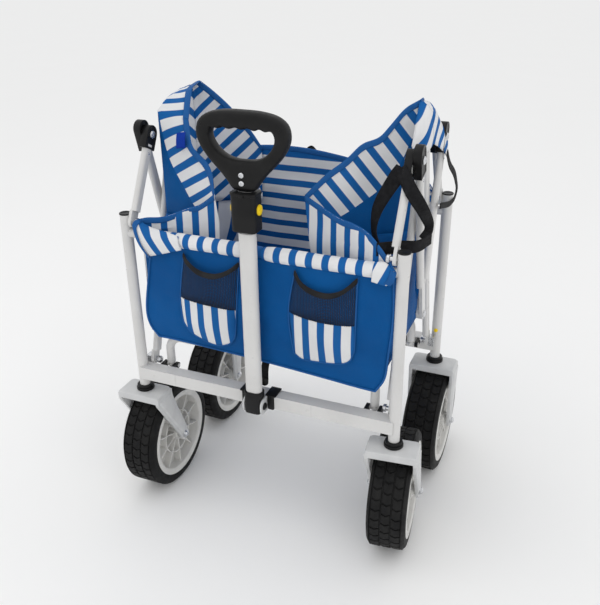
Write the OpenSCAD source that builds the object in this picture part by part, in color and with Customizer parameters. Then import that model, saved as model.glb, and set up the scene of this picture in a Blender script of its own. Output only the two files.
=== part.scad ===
// Folding beach cart: two rigid end frames on four wide wheels, joined by folding side bars.
// Millimetres. +X is the cart's right side, +Y its rear, +Z up. The origin is on the ground,
// under the middle of the cart as it stands nearly folded.

/* [End frames] */
// Distance between the centres of the left and right legs
leg_spacing = 500; // [440:1:560]
// Distance between the front and rear legs as the cart stands
fold_gap = 308.5; // [300:0.5:320]
// Outside diameter of a leg tube
leg_d = 20; // [18:0.5:22]
// Height of the open lower end of a leg above the ground
leg_bottom = 253.6; // [250:0.1:260]
// Height of the top of a leg above the ground
leg_top = 600.6; // [590:0.1:620]
// Wall of the leg tubes
leg_wall = 1.4; // [1:0.1:2]
// Side of the square lower bar
lower_bar = 25; // [20:1:28]
// Height of the lower bar's middle
lower_bar_z = 284; // [280:1:290]
// Diameter of the top rail inside its padded sleeve
rail_d = 16; // [12:1:18]
// Height of the top rail's middle
rail_z = 567; // [560:1:568]

/* [Wheels] */
// Radius of a tyre
tyre_r = 111; // [105:0.5:112]
// Width of a tyre
tyre_w = 70; // [60:1:72]
// Radius where the tyre meets the rim
rim_r = 90; // [84:0.5:92]
// How far a caster wheel trails behind its leg
trail = 53.5; // [48:0.5:56]
// How far a rear wheel sits in front of its leg
rear_lead = 8; // [4:0.5:10]
// How far the right caster is turned as the cart stands, degrees
caster_turn = 6; // [0:1:10]
// Thickness of the fork's plate and arms
fork_t = 6; // [5:0.5:8]

/* [Side bars] */
// Width of a flat-oval side bar
bar_w = 20; // [16:1:22]
// Thickness of a flat-oval side bar
bar_t = 11.4; // [10:0.1:11.4]
// Length of the short link between its two pivots
link_length = 155; // [150:1:160]
// Lean of the short link from upright as the cart stands, degrees
link_lean = 28.5; // [26:0.5:30]
// Height of the joint where the two long bars meet as the cart stands
peak_z = 765; // [755:1:770]
// Height of the joint where the two knee bars meet as the cart stands
lower_joint_z = 425; // [415:1:435]
// Radius of the pivot bolts
bolt_r = 4; // [3:0.5:4]

/* [Pull handle] */
// Distance of the handle tube in front of the front legs
handle_out = 27; // [26:0.5:30]
// Width of the oval handle tube
handle_w = 30; // [28:1:32]
// Depth of the oval handle tube
handle_d = 20; // [18:1:20]
// Height of the lower edge of the handle's black collar
collar_z = 610; // [600:1:620]
// Height of the collar
collar_h = 69; // [60:1:72]
// Width of the D grip
grip_w = 155; // [145:1:165]
// Height of the top of the grip
grip_top = 803; // [795:1:810]

/* [Fabric] */
// Height of the lower edge of the front and rear panels
panel_bottom = 355; // [350:1:360]
// Height of the point of the side fabric over the long bars
fabric_peak = 785; // [775:1:790]
// Height of the top edge of the rear panel, which stands up above its rail
back_top = 655; // [600:1:670]
// Thickness of a panel
panel_t = 3; // [2:0.5:4]
// Outside diameter of the padded sleeve on a top rail
sleeve_d = 26; // [22:1:28]

/* [Hidden] */
$fn = 48;
play = 0.05;            // radial clearance of a turning pin
gap = 0.4;              // free space between pieces that move past each other
front_y = -175.7;       // front legs; puts the middle of the whole cart over the origin
rear_y = front_y + fold_gap;
mid_y = (front_y + rear_y) / 2;
leg_x = leg_spacing / 2;
leg_r = leg_d / 2;
inner_plane = leg_x - leg_r - gap - bar_t / 2;      // long bars and short links
outer_plane = inner_plane + bar_t + 2 * gap + 1.4;  // knee bars and their caps
lug_t = bar_t / 2 - 0.2;
lug_shift = bar_t / 4 + 0.1;
foot_pivot = [front_y + 23, 300];                   // long bar on the end frame, [y, z]
head_pivot = [front_y, 588.5];                      // short link on the leg
knee = head_pivot + link_length * [sin(link_lean), cos(link_lean)];
peak = [mid_y, peak_z];
lower_joint = [mid_y, lower_joint_z];
arch_x = 205;
arch_d = 16;
arch_pivot = [front_y + 31, 290];
arch_h = 62;
arch_bend = 28;
bearing_h = 10;
fork_top = leg_bottom - bearing_h - 0.3;
stem_r = 6;
fork_inner = tyre_w + 8;
axle_half = 51.3;
hub_y = front_y - handle_out;
hub_z = 283;
collar_top = collar_z + collar_h;
snap_z = 318;

// ---- placing ----

module both_sides() {
    children();
    mirror([1, 0, 0]) children();
}

module at_rear() {
    translate([0, 2 * mid_y, 0]) mirror([0, 1, 0]) children();
}

module across(x, at) {
    translate([x, at[0], at[1]]) rotate([0, 90, 0]) children();
}

// ---- end frames ----

module leg(y, snap) {
    both_sides() translate([leg_x, y, leg_bottom]) difference() {
        cylinder(d = leg_d, h = leg_top - leg_bottom);
        translate([0, 0, -1]) cylinder(d = leg_d - 2 * leg_wall, h = leg_top - leg_bottom + 2);
        if (snap)
            translate([0, 0, snap_z - leg_bottom]) rotate([90, 0, 0]) cylinder(r = bolt_r + play, h = leg_d);
    }
}

module lower_bar_at(y) {
    difference() {
        translate([-leg_x, y - lower_bar / 2, lower_bar_z - lower_bar / 2])
            cube([leg_spacing, lower_bar, lower_bar]);
        translate([-leg_x - 1, y - lower_bar / 2 + 2, lower_bar_z - lower_bar / 2 + 2])
            cube([leg_spacing + 2, lower_bar - 4, lower_bar - 4]);
        both_sides() translate([leg_x, y - lower_bar, 0]) cube([50, 2 * lower_bar, leg_top]);
        both_sides() translate([leg_x, y, 200]) cylinder(d = leg_d, h = 200);
    }
}

module top_rail_at(y) {
    difference() {
        across(-leg_x, [y, rail_z]) cylinder(d = rail_d, h = leg_spacing);
        across(-leg_x - 1, [y, rail_z]) cylinder(d = rail_d - 3, h = leg_spacing + 2);
        both_sides() translate([leg_x, y, 500]) cylinder(d = leg_d, h = 200);
    }
}

module leg_plugs_at(y) {
    both_sides() translate([leg_x, y, leg_top]) {
        cylinder(d = leg_d, h = 2);
        translate([0, 0, -8]) cylinder(d = leg_d - 2 * leg_wall, h = 8);
    }
}

module bearings_at(y) {
    both_sides() translate([leg_x, y, leg_bottom - bearing_h]) difference() {
        union() {
            cylinder(r = 17, h = bearing_h * 0.6);
            cylinder(r = 14, h = bearing_h);
        }
        translate([0, 0, -1]) cylinder(r = stem_r + play, h = bearing_h + 2);
    }
}

module pivot_bolts_front() {
    both_sides() for (p = [head_pivot, foot_pivot]) {
        inner = inner_plane - bar_t / 2;
        across(inner, p) cylinder(r = bolt_r, h = bar_t + gap + 1);
        across(inner - 4, p) cylinder(r = 7, h = 3.7);
    }
    both_sides() translate([leg_x - 10, front_y + lower_bar / 2, lower_bar_z + 6])
        cube([10, foot_pivot[0] - front_y - lower_bar / 2 + 5, 20]);
}

// ---- folding side bars ----

module flat_oval(w, t) {
    square([t, w - t], center = true);
    for (s = [-1, 1]) translate([0, s * (w - t) / 2]) circle(d = t);
}

// A flattened end: a plate with a round eye, on the outer (1) or inner (-1) half of the bar.
module eye(side, flat) {
    translate([side * lug_shift - lug_t / 2, 0, 0]) difference() {
        union() {
            rotate([0, 90, 0]) cylinder(d = bar_w, h = lug_t);
            translate([0, -bar_w / 2, 0]) cube([lug_t, bar_w, flat + 1]);
        }
        translate([-1, 0, 0]) rotate([0, 90, 0]) cylinder(r = bolt_r + play, h = lug_t + 2);
    }
}

module side_bar(plane, from, to, from_flat, to_flat, from_side, to_side) {
    run = to - from;
    both_sides() translate([plane, from[0], from[1]]) rotate([-atan2(run[0], run[1]), 0, 0]) {
        translate([0, 0, from_flat]) linear_extrude(norm(run) - from_flat - to_flat) difference() {
            flat_oval(bar_w, bar_t);
            flat_oval(bar_w - 3, bar_t - 3);
        }
        eye(from_side, from_flat);
        translate([0, 0, norm(run)]) rotate([180, 0, 0]) eye(to_side, to_flat);
    }
}

module long_bars(lap) {
    side_bar(inner_plane, foot_pivot, peak, 18, 52, 1, lap);
}

module short_links() {
    side_bar(inner_plane, head_pivot, knee, 18, 18, 1, 1);
}

module knee_bars(lap) {
    side_bar(outer_plane, knee, lower_joint, 18, 64, -1, lap);
}

module knee_caps() {
    run = knee - lower_joint;
    both_sides() translate([outer_plane, knee[0], knee[1]]) rotate([-atan2(run[0], run[1]), 0, 0])
        difference() {
            union() {
                translate([-bar_t / 2 - 1, -15, -27]) cube([bar_t + 2, 30, 41]);
                translate([-bar_t / 2 - 1, 0, 14]) rotate([0, 90, 0]) cylinder(r = 15, h = bar_t + 2);
            }
            translate([-bar_t / 2, -bar_w / 2 - play, -30]) cube([bar_t, bar_w + 2 * play, 41]);
            rotate([0, 90, 0]) translate([0, 0, -20]) cylinder(r = bolt_r + play, h = 40);
        }
}

module knee_bolts() {
    both_sides() {
        across(inner_plane - bar_t / 2 - 3, knee) cylinder(r = 6.5, h = 3.2 + bar_t / 2);
        across(inner_plane - 1, knee) cylinder(r = bolt_r, h = outer_plane - inner_plane + bar_t / 2 + 2.4);
        across(outer_plane + bar_t / 2 + 1.2, knee) cylinder(r = 6.5, h = 3);
    }
}

// ---- floor arches ----

module floor_arch() {
    top = arch_pivot[1] + arch_h;
    y = arch_pivot[0];
    both_sides() {
        translate([arch_x, y, arch_pivot[1] + 6]) cylinder(d = arch_d, h = arch_h - arch_bend - 6);
        translate([arch_x - arch_bend, y, top - arch_bend]) rotate([90, 0, 0])
            rotate_extrude(angle = 90) translate([arch_bend, 0]) circle(d = arch_d);
        translate([arch_x, y, arch_pivot[1]]) sphere(d = 13);
        across(arch_x - 16, [y, arch_pivot[1]]) cylinder(r = bolt_r, h = 32);
        translate([arch_x, y, arch_pivot[1] - 1]) cylinder(d = 9, h = 8);
    }
    across(-arch_x + arch_bend, [y, top]) cylinder(d = arch_d, h = 2 * (arch_x - arch_bend));
}

module arch_clips() {
    face = front_y + lower_bar / 2;
    both_sides() for (s = [-1, 1]) difference() {
        union() {
            translate([arch_x + s * 12 - 3, face, arch_pivot[1] - 6])
                cube([6, arch_pivot[0] - face, 12]);
            across(arch_x + s * 12 - 3, arch_pivot) cylinder(r = 6, h = 6);
        }
        across(arch_x + s * 12 - 4, arch_pivot) cylinder(r = bolt_r + play, h = 8);
    }
}

// ---- wheels and forks ----

// Fork in its own frame: the leg's axis is Z, the axle lies at [0, back, tyre_r].
module fork(back) {
    front = -30;
    rear = 22;
    outer = fork_inner / 2 + fork_t;
    difference() {
        union() {
            translate([-outer, front, fork_top - fork_t]) cube([2 * outer, rear - front, fork_t]);
            translate([-outer, front, fork_top - 14]) cube([2 * outer, fork_t, 14]);
            for (s = [-1, 1]) translate([s * (outer - fork_t / 2) - fork_t / 2, 0, 0])
                rotate([90, 0, 90]) linear_extrude(fork_t) {
                    polygon([[front, fork_top], [rear, fork_top], [rear, fork_top - 14],
                             [back + 11, tyre_r], [back - 11, tyre_r], [front, fork_top - 24]]);
                    translate([back, tyre_r]) circle(r = 12);
                }
        }
        across(-outer - 1, [back, tyre_r]) cylinder(r = bolt_r, h = 2 * outer + 2);
    }
    translate([0, 0, fork_top - 1]) cylinder(r = stem_r, h = bearing_h + 40);
}

module axle(back) {
    across(-axle_half, [back, tyre_r]) cylinder(r = bolt_r, h = 2 * axle_half);
    for (s = [-1, 1]) {
        outer = fork_inner / 2 + fork_t;
        across(s > 0 ? outer : -axle_half, [back, tyre_r]) cylinder(r = 7, h = axle_half - outer);
    }
}

module tyre(back) {
    shoulder = 8;
    half = tyre_w / 2;
    across(0, [back, tyre_r]) rotate_extrude($fn = 96)
        polygon([[rim_r, -half], [tyre_r - shoulder, -half], [tyre_r, -half + shoulder],
                 [tyre_r, half - shoulder], [tyre_r - shoulder, half], [rim_r, half]]);
}

module rim(back) {
    half = tyre_w / 2;
    across(0, [back, tyre_r]) {
        difference() {
            union() {
                rotate_extrude($fn = 96)
                    polygon([[bolt_r, -half + 1], [17, -half + 1], [15, -2], [rim_r - 7, -2],
                             [rim_r - 9, -half + 1], [rim_r, -half + 1], [rim_r, half - 1],
                             [rim_r - 9, half - 1], [rim_r - 7, 2], [15, 2], [17, half - 1],
                             [bolt_r, half - 1]]);
                for (s = [-1, 1]) translate([0, 0, s * 8]) rotate_extrude($fn = 96)
                    translate([40, -8]) square([3, 16]);
                for (i = [0:9]) rotate([0, 0, i * 36]) translate([14, -1.25, -22])
                    cube([rim_r - 20, 2.5, 44]);
            }
            translate([0, 0, -half]) cylinder(r = bolt_r + play, h = tyre_w);
        }
    }
}

module caster_right() {
    translate([leg_x, front_y, 0]) rotate([0, 0, caster_turn]) children();
}

module caster_left() {
    translate([-leg_x, front_y, 0]) children();
}

module rear_wheel(side) {
    translate([side * leg_x, rear_y, 0]) children();
}

// ---- pull handle ----

module oval_tube(w, d, wall, h) {
    linear_extrude(h) difference() {
        rotate(90) flat_oval(w, d);
        rotate(90) flat_oval(w - 2 * wall, d - 2 * wall);
    }
}

module handle_bracket() {
    face = front_y - lower_bar / 2;
    difference() {
        union() {
            both_sides() translate([15.5, hub_y - 12, hub_z - 15]) cube([3, face - hub_y + 12, 30]);
            both_sides() translate([18.5, face - 3, hub_z - 13]) cube([14, 3, 28]);
        }
        across(-30, [hub_y, hub_z]) cylinder(r = bolt_r, h = 60);
    }
}

module handle_pivot_bolt() {
    across(-22, [hub_y, hub_z]) cylinder(r = bolt_r, h = 44);
    for (x = [-22, 18.7]) across(x, [hub_y, hub_z]) cylinder(r = 7, h = 3.3);
}

module handle_socket() {
    difference() {
        union() {
            across(-15, [hub_y, hub_z]) cylinder(r = 13, h = 30);
            translate([-15, hub_y - 13, hub_z]) cube([30, 26, 22]);
        }
        across(-20, [hub_y, hub_z]) cylinder(r = bolt_r + play, h = 40);
    }
}

module handle_outer_tube() {
    translate([0, hub_y, hub_z + 22]) oval_tube(handle_w, handle_d, 1.6, collar_z - hub_z - 22);
}

module handle_inner_tube() {
    translate([0, hub_y, 335]) oval_tube(handle_w - 3.6, handle_d - 3.6, 1.6, collar_top + gap - 335);
}

module handle_collar() {
    translate([0, hub_y, collar_z]) difference() {
        linear_extrude(collar_h) difference() {
            square([48, 34], center = true);
            rotate(90) flat_oval(handle_w - 3.2, handle_d - 3.2);
        }
        translate([-30, 0, collar_h - 24]) rotate([0, 90, 0]) cylinder(r = 8.1, h = 11.9);
        translate([18.1, 0, collar_h - 24]) rotate([0, 90, 0]) cylinder(r = 8.1, h = 11.9);
    }
}

module collar_button(side) {
    across(0, [hub_y, collar_top - 24]) translate([0, 0, side > 0 ? 21.5 : -26.5])
        cylinder(r = 8, h = 5);
}

module handle_grip() {
    base = collar_top + gap;
    corner = 17;
    spread = grip_w / 2 - corner;
    shoulder_z = grip_top - corner;
    translate([0, hub_y + 14, 0]) rotate([90, 0, 0]) linear_extrude(28) difference() {
        union() {
            hull() {
                for (s = [-1, 1]) translate([s * spread, shoulder_z]) circle(r = corner, $fn = 32);
                translate([0, base + 32]) circle(r = 26, $fn = 32);
            }
            translate([-20, base]) square([40, 40]);
        }
        hull() {
            for (s = [-1, 1]) translate([s * (spread - 6), shoulder_z - 6]) circle(r = 8, $fn = 32);
            for (s = [-1, 1]) translate([s * 14, base + 56]) circle(r = 8, $fn = 32);
        }
    }
}

module grip_screws() {
    for (z = [collar_top + 14, collar_top + 27]) translate([0, hub_y - 14, z]) rotate([90, 0, 0])
        cylinder(r = 3.5, h = 1.5);
}

module leg_button() {
    translate([leg_x, rear_y - 2, snap_z]) rotate([90, 0, 0]) cylinder(r = bolt_r, h = leg_r + 0.5);
}

// ---- fabric ----

module end_panel(y) {
    half = leg_x - leg_r - 16;
    translate([-half, y - panel_t / 2, panel_bottom])
        cube([2 * half, panel_t, rail_z - panel_bottom - rail_d / 2 - 0.1]);
    across(-half, [y, rail_z]) difference() {
        cylinder(d = sleeve_d, h = 2 * half);
        translate([0, 0, -1]) cylinder(d = rail_d + 0.1, h = 2 * half + 2);
    }
}

module back_flap() {
    half = leg_x - leg_r - 36;
    translate([-half, rear_y - panel_t / 2, rail_z + rail_d / 2 + 0.1])
        cube([2 * half, panel_t, back_top - rail_z - rail_d / 2 - 0.1]);
}

module side_panel() {
    x = leg_x - leg_r - 24;
    near = front_y + 15;
    far = rear_y - 35;
    translate([x, 0, 0]) rotate([90, 0, 90]) linear_extrude(panel_t - 1)
        polygon([[near, panel_bottom + 20], [far, panel_bottom + 20], [far, 575],
                 [mid_y + 30, fabric_peak], [mid_y - 30, fabric_peak], [near, 575]]);
}

module floor_panel() {
    half = leg_x - leg_r - 30;
    translate([-half, front_y + 15, panel_bottom + 17])
        cube([2 * half, fold_gap - 50, panel_t]);
}

// Two open pockets on the front panel; the panel itself is their back wall.
module front_pockets() {
    depth = 15;
    y = front_y - panel_t / 2 - 0.1;
    for (x = [-152, 50]) difference() {
        translate([x, y - depth, 388]) cube([104, depth, 140]);
        translate([x + 2, y - depth + 2, 390]) cube([100, depth, 150]);
    }
}

// Woven strap that ties the folded bars together, lying along the right knee bar.
module closure_strap() {
    run = knee - lower_joint;
    translate([outer_plane + bar_t / 2 + 1.6, knee[0], knee[1]])
        rotate([-atan2(run[0], run[1]), 0, 0]) translate([0, -12, -140]) cube([2, 24, 105]);
}

// ---- the parts ----

white = [0.87, 0.87, 0.86];
moulded = [0.72, 0.73, 0.74];
blue = [0.05, 0.35, 0.65];
plastic = [0.08, 0.08, 0.09];

color(white) leg(front_y, false);  // front_legs
color(white) leg(rear_y, true);  // rear_legs
color(white) lower_bar_at(front_y);  // front_lower_bar
color(white) lower_bar_at(rear_y);  // rear_lower_bar
color(white) top_rail_at(front_y);  // front_top_rail
color(white) top_rail_at(rear_y);  // rear_top_rail
color(plastic) leg_plugs_at(front_y);  // front_leg_plugs
color(plastic) leg_plugs_at(rear_y);  // rear_leg_plugs
color(plastic) bearings_at(front_y);  // front_bearings
color(plastic) bearings_at(rear_y);  // rear_bearings
color(white) long_bars(1);  // front_long_bars
color(white) at_rear() long_bars(-1);  // rear_long_bars
color(white) short_links();  // front_short_links
color(white) at_rear() short_links();  // rear_short_links
color(white) knee_bars(1);  // front_knee_bars
color(white) at_rear() knee_bars(-1);  // rear_knee_bars
color(plastic) knee_caps();  // front_knee_caps
color(plastic) at_rear() knee_caps();  // rear_knee_caps
color("silver") pivot_bolts_front();  // front_pivot_bolts
color("silver") at_rear() pivot_bolts_front();  // rear_pivot_bolts
color("silver") knee_bolts();  // front_knee_bolts
color("silver") at_rear() knee_bolts();  // rear_knee_bolts
color(white) floor_arch();  // front_floor_arch
color(white) at_rear() floor_arch();  // rear_floor_arch
color(plastic) arch_clips();  // front_arch_clips
color(plastic) at_rear() arch_clips();  // rear_arch_clips
color(moulded) caster_right() fork(trail);  // caster_fork_right
color(moulded) caster_left() fork(trail);  // caster_fork_left
color(moulded)  // rear_forks
    for (s = [-1, 1]) rear_wheel(s) fork(-rear_lead);
color("silver") caster_right() axle(trail);  // caster_axle_right
color("silver") caster_left() axle(trail);  // caster_axle_left
color("silver")  // rear_axles
    for (s = [-1, 1]) rear_wheel(s) axle(-rear_lead);
color(plastic) caster_right() tyre(trail);  // tyre_front_right
color(plastic) caster_left() tyre(trail);  // tyre_front_left
color(plastic) rear_wheel(1) tyre(-rear_lead);  // tyre_rear_right
color(plastic) rear_wheel(-1) tyre(-rear_lead);  // tyre_rear_left
color(moulded) caster_right() rim(trail);  // rim_front_right
color(moulded) caster_left() rim(trail);  // rim_front_left
color(moulded) rear_wheel(1) rim(-rear_lead);  // rim_rear_right
color(moulded) rear_wheel(-1) rim(-rear_lead);  // rim_rear_left
color(moulded) handle_bracket();
color(plastic) handle_pivot_bolt();
color(plastic) handle_socket();
color(white) handle_outer_tube();
color(plastic) handle_collar();
color("silver") handle_inner_tube();
color(plastic) handle_grip();
color("silver") grip_screws();
color("gold") collar_button(1);  // collar_button_right
color("gold") collar_button(-1);  // collar_button_left
color("gold") leg_button();
color(blue) end_panel(front_y);  // front_panel
color(blue) union() { end_panel(rear_y); back_flap(); }  // rear_panel
color(blue) side_panel();  // side_panel_right
color(blue) mirror([1, 0, 0]) side_panel();  // side_panel_left
color(blue) floor_panel();
color(blue) front_pockets();
color(plastic) closure_strap();
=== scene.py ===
import math

import bmesh
import bpy
from mathutils import Matrix, Vector, noise as wrinkle


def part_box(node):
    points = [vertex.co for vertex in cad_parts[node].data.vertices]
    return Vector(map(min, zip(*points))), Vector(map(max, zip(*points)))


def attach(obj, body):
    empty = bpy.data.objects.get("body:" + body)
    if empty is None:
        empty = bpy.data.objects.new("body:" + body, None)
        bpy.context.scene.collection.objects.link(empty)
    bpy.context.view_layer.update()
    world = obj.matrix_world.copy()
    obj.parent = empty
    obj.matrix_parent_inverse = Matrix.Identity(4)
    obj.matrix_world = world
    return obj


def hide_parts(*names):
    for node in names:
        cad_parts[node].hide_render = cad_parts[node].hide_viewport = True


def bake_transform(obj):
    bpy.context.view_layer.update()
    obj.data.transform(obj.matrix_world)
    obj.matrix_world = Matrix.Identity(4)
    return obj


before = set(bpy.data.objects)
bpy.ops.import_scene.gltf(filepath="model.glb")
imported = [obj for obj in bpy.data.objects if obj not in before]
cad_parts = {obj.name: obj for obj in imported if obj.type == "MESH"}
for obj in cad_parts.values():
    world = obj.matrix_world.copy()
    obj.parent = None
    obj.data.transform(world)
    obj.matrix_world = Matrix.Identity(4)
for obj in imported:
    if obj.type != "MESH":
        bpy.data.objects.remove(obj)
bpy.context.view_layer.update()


# ---- Powder-coated frame ----
# The end frames, side bars, floor arches and handle tube are welded steel tube under a
# white powder coat. The coat has a fine orange peel, a faint grey cast where hands and
# sand have rubbed it, and small scuffs along the tubes.

def add_node(finish, kind, inputs=None, **settings):
    """Adds a node to a finish; each input takes a value or another node's output."""
    made = finish.node_tree.nodes.new(kind)
    for setting, value in settings.items():
        setattr(made, setting, value)
    for socket, value in (inputs or {}).items():
        if isinstance(value, bpy.types.NodeSocket):
            finish.node_tree.links.new(value, made.inputs[socket])
        else:
            made.inputs[socket].default_value = value
    return made


def new_finish(name, roughness, metallic=0.0, specular=0.5):
    finish = bpy.data.materials.new(name)
    finish.use_nodes = True
    shader = finish.node_tree.nodes["Principled BSDF"]
    shader.inputs["Roughness"].default_value = roughness
    shader.inputs["Metallic"].default_value = metallic
    shader.inputs["Specular IOR Level"].default_value = specular
    return finish


def drive(finish, socket, output):
    shader = finish.node_tree.nodes["Principled BSDF"]
    finish.node_tree.links.new(output, shader.inputs[socket])


def noise(finish, scale, detail=3.0, stretch=(1, 1, 1), where=None):
    """A noise on Object coordinates, with about scale features to the metre."""
    if where is None:
        where = add_node(finish, "ShaderNodeTexCoord").outputs["Object"]
    point = add_node(finish, "ShaderNodeMapping", {"Vector": where, "Scale": stretch})
    return add_node(finish, "ShaderNodeTexNoise",
                    {"Vector": point.outputs["Vector"], "Scale": scale, "Detail": detail}).outputs["Fac"]


def spread(finish, value, low, high, to_low=0.0, to_high=1.0):
    return add_node(finish, "ShaderNodeMapRange",
                    {"Value": value, "From Min": low, "From Max": high,
                     "To Min": to_low, "To Max": to_high}).outputs["Result"]


def mottle(finish, scale, low=0.0, high=1.0):
    """A soft noise spread over a range."""
    return spread(finish, noise(finish, scale), 0.3, 0.7, low, high)


def between(finish, share, first, second):
    """The colour that is the first where share is 0 and the second where it is 1."""
    mix = add_node(finish, "ShaderNodeMix", data_type="RGBA")
    for slot, value in ((0, share), (6, first), (7, second)):
        if isinstance(value, bpy.types.NodeSocket):
            finish.node_tree.links.new(value, mix.inputs[slot])
        else:
            mix.inputs[slot].default_value = value if slot == 0 else (*value, 1)
    return mix.outputs[2]


def sums(finish, operation, *values):
    made = add_node(finish, "ShaderNodeMath", dict(enumerate(values)), operation=operation)
    return made.outputs[0]


def relief(finish, *heights):
    """Chains bumps, each given as (height output, depth in metres, strength)."""
    normal = None
    for height, depth, strength in heights:
        bump = add_node(finish, "ShaderNodeBump", {"Height": height, "Distance": depth, "Strength": strength})
        if normal is not None:
            finish.node_tree.links.new(normal, bump.inputs["Normal"])
        normal = bump.outputs["Normal"]
    drive(finish, "Normal", normal)


def coated(name, colour, rubbed):
    finish = new_finish(name, 0.34, specular=0.45)
    cloud = spread(finish, noise(finish, 14), 0.35, 0.75)
    scuff = spread(finish, noise(finish, 60, 4, (1, 1, 0.12)), 0.66, 0.72)
    shade = between(finish, cloud, colour, rubbed)
    worn = tuple(0.72 * c for c in rubbed)
    drive(finish, "Base Color", between(finish, sums(finish, "MULTIPLY", scuff, 0.35), shade, worn))
    drive(finish, "Roughness", mottle(finish, 90, 0.27, 0.42))
    relief(finish, (noise(finish, 850, 2), 0.0001, 0.25))
    return finish


white_coat = coated("white_powder_coat", (0.665, 0.66, 0.65), (0.605, 0.6, 0.59))

COATED_TUBES = ["front_legs", "rear_legs", "front_lower_bar", "rear_lower_bar",
                "front_top_rail", "rear_top_rail", "front_long_bars", "rear_long_bars",
                "front_short_links", "rear_short_links", "front_knee_bars", "rear_knee_bars",
                "front_floor_arch", "rear_floor_arch", "handle_outer_tube"]


def refinish(node, finish):
    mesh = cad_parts[node].data
    mesh.materials.clear()
    mesh.materials.append(finish)


for node in COATED_TUBES:
    refinish(node, white_coat)

leg_low, leg_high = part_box("front_legs")
LEG_RADIUS = 0.01
LEG_X = leg_high.x - LEG_RADIUS
LEG_TOP = leg_high.z
LEG_FOOT = leg_low.z
FRONT_Y = (leg_low.y + leg_high.y) / 2
REAR_Y = sum(corner.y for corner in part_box("rear_legs")) / 2
MID_Y = (FRONT_Y + REAR_Y) / 2


# ---- Leg plugs ----
# Black moulded plugs close the tops of the four leg tubes. Each is pushed in and shows a
# low dished cap with a rounded rim.

SHARP_EDGE = math.radians(38)


def finished_piece(name, shape, finish, body, stands_for=()):
    """Makes an object at the origin from a bmesh, and lets it move with one body."""
    bmesh.ops.remove_doubles(shape, verts=shape.verts, dist=1e-6)
    bmesh.ops.recalc_face_normals(shape, faces=shape.faces)
    for face in shape.faces:
        face.smooth = True
    for edge in shape.edges:
        edge.smooth = edge.calc_face_angle(0.0) < SHARP_EDGE
    mesh = bpy.data.meshes.new(name)
    shape.to_mesh(mesh)
    shape.free()
    made = bpy.data.objects.new(name, mesh)
    bpy.context.scene.collection.objects.link(made)
    mesh.materials.append(finish)
    if body:
        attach(made, body)
    if stands_for:
        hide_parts(*stands_for)
    return made


def turned(outline, steps=48):
    """A round solid: a half outline of (radius, height) points spun about Z."""
    part = bmesh.new()
    line = [part.verts.new((radius, 0, height)) for radius, height in outline]
    edges = [part.edges.new(pair) for pair in zip(line, line[1:])]
    bmesh.ops.spin(part, geom=line + edges, cent=(0, 0, 0), axis=(0, 0, 1),
                   angle=2 * math.pi, steps=steps, use_merge=True)
    bmesh.ops.remove_doubles(part, verts=part.verts, dist=1e-6)
    bmesh.ops.recalc_face_normals(part, faces=part.faces)
    return part


def put(shape, part, *places):
    """Copies a part into a shape once for each place."""
    loose = bpy.data.meshes.new("loose")
    part.to_mesh(loose)
    for place in places:
        copy = loose.copy()
        copy.transform(place)
        if place.determinant() < 0:
            copy.flip_normals()
        shape.from_mesh(copy)
        bpy.data.meshes.remove(copy)
    bpy.data.meshes.remove(loose)
    part.free()


def moulded(name, dark, light, roughness, grain=1400, depth=0.00006):
    finish = new_finish(name, roughness, specular=0.22)
    drive(finish, "Base Color", between(finish, mottle(finish, 35), dark, light))
    drive(finish, "Roughness", mottle(finish, 160, roughness - 0.07, roughness + 0.07))
    relief(finish, (noise(finish, grain, 2), depth, 0.4))
    return finish


black_plastic = moulded("black_moulded_plastic", (0.0045, 0.0045, 0.005), (0.0095, 0.0095, 0.01), 0.4)

def moved(x, y, z):
    return Matrix.Translation((x, y, z))


def both_legs(y, z=0):
    """The places on the left and right leg of one end frame."""
    return [moved(side * LEG_X, y, z) for side in (-1, 1)]


PLUG_OUTLINE = [(0, -0.006), (0.0084, -0.006), (0.0084, 0), (0.0101, 0), (0.0106, 0.0006),
                (0.0106, 0.0018), (0.0099, 0.0027), (0.0088, 0.0027), (0.0078, 0.002), (0, 0.0016)]

for end, y in (("front", FRONT_Y), ("rear", REAR_Y)):
    plugs = bmesh.new()
    put(plugs, turned(PLUG_OUTLINE, 40), *both_legs(y, LEG_TOP))
    finished_piece(f"{end}_leg_caps", plugs, black_plastic, f"{end}_frame", [f"{end}_leg_plugs"])


# ---- Swivel bearings ----
# Two-step black bearing rings sit between the foot of each leg and the wheel fork below
# it, moulded and pressed onto the leg.

BEARING_DROP = 0.01
BEARING_OUTLINE = [(0.0062, 0), (0.016, 0), (0.017, 0.001), (0.017, 0.0048), (0.0162, 0.0058),
                   (0.0146, 0.006), (0.0146, 0.0066), (0.0153, 0.0072), (0.0153, 0.01),
                   (0.0143, 0.0112), (0.0104, 0.0112), (0.0104, 0.01), (0.0062, 0.01), (0.0062, 0)]

for end, y in (("front", FRONT_Y), ("rear", REAR_Y)):
    rings = bmesh.new()
    put(rings, turned(BEARING_OUTLINE, 56), *both_legs(y, LEG_FOOT - BEARING_DROP))
    finished_piece(f"{end}_bearing_rings", rings, black_plastic, f"{end}_frame", [f"{end}_bearings"])


# ---- Wheel forks ----
# Each wheel hangs in a pale grey moulded fork: a flat top plate with a rolled front lip
# and two arms that slant back to the axle, each stiffened by a raised rib.

def bevelled(part, geom, offset, segments, affect="EDGES", **more):
    bmesh.ops.bevel(part, geom=geom, offset=offset, offset_type="OFFSET", affect=affect,
                    segments=segments, profile=0.5, material=-1, **more)


def is_upright(edge):
    return abs(edge.verts[0].co.z - edge.verts[1].co.z) > 1e-6


def rod(radius, start, end, steps):
    """A round bar along Z between two heights."""
    return turned([(0, start), (radius, start), (radius, end), (0, end)], steps)


def to_side(side):
    """Keeps a place for side 1, and mirrors it across the middle of the cart for side -1."""
    return Matrix.Scale(side, 4, (1, 0, 0))


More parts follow.
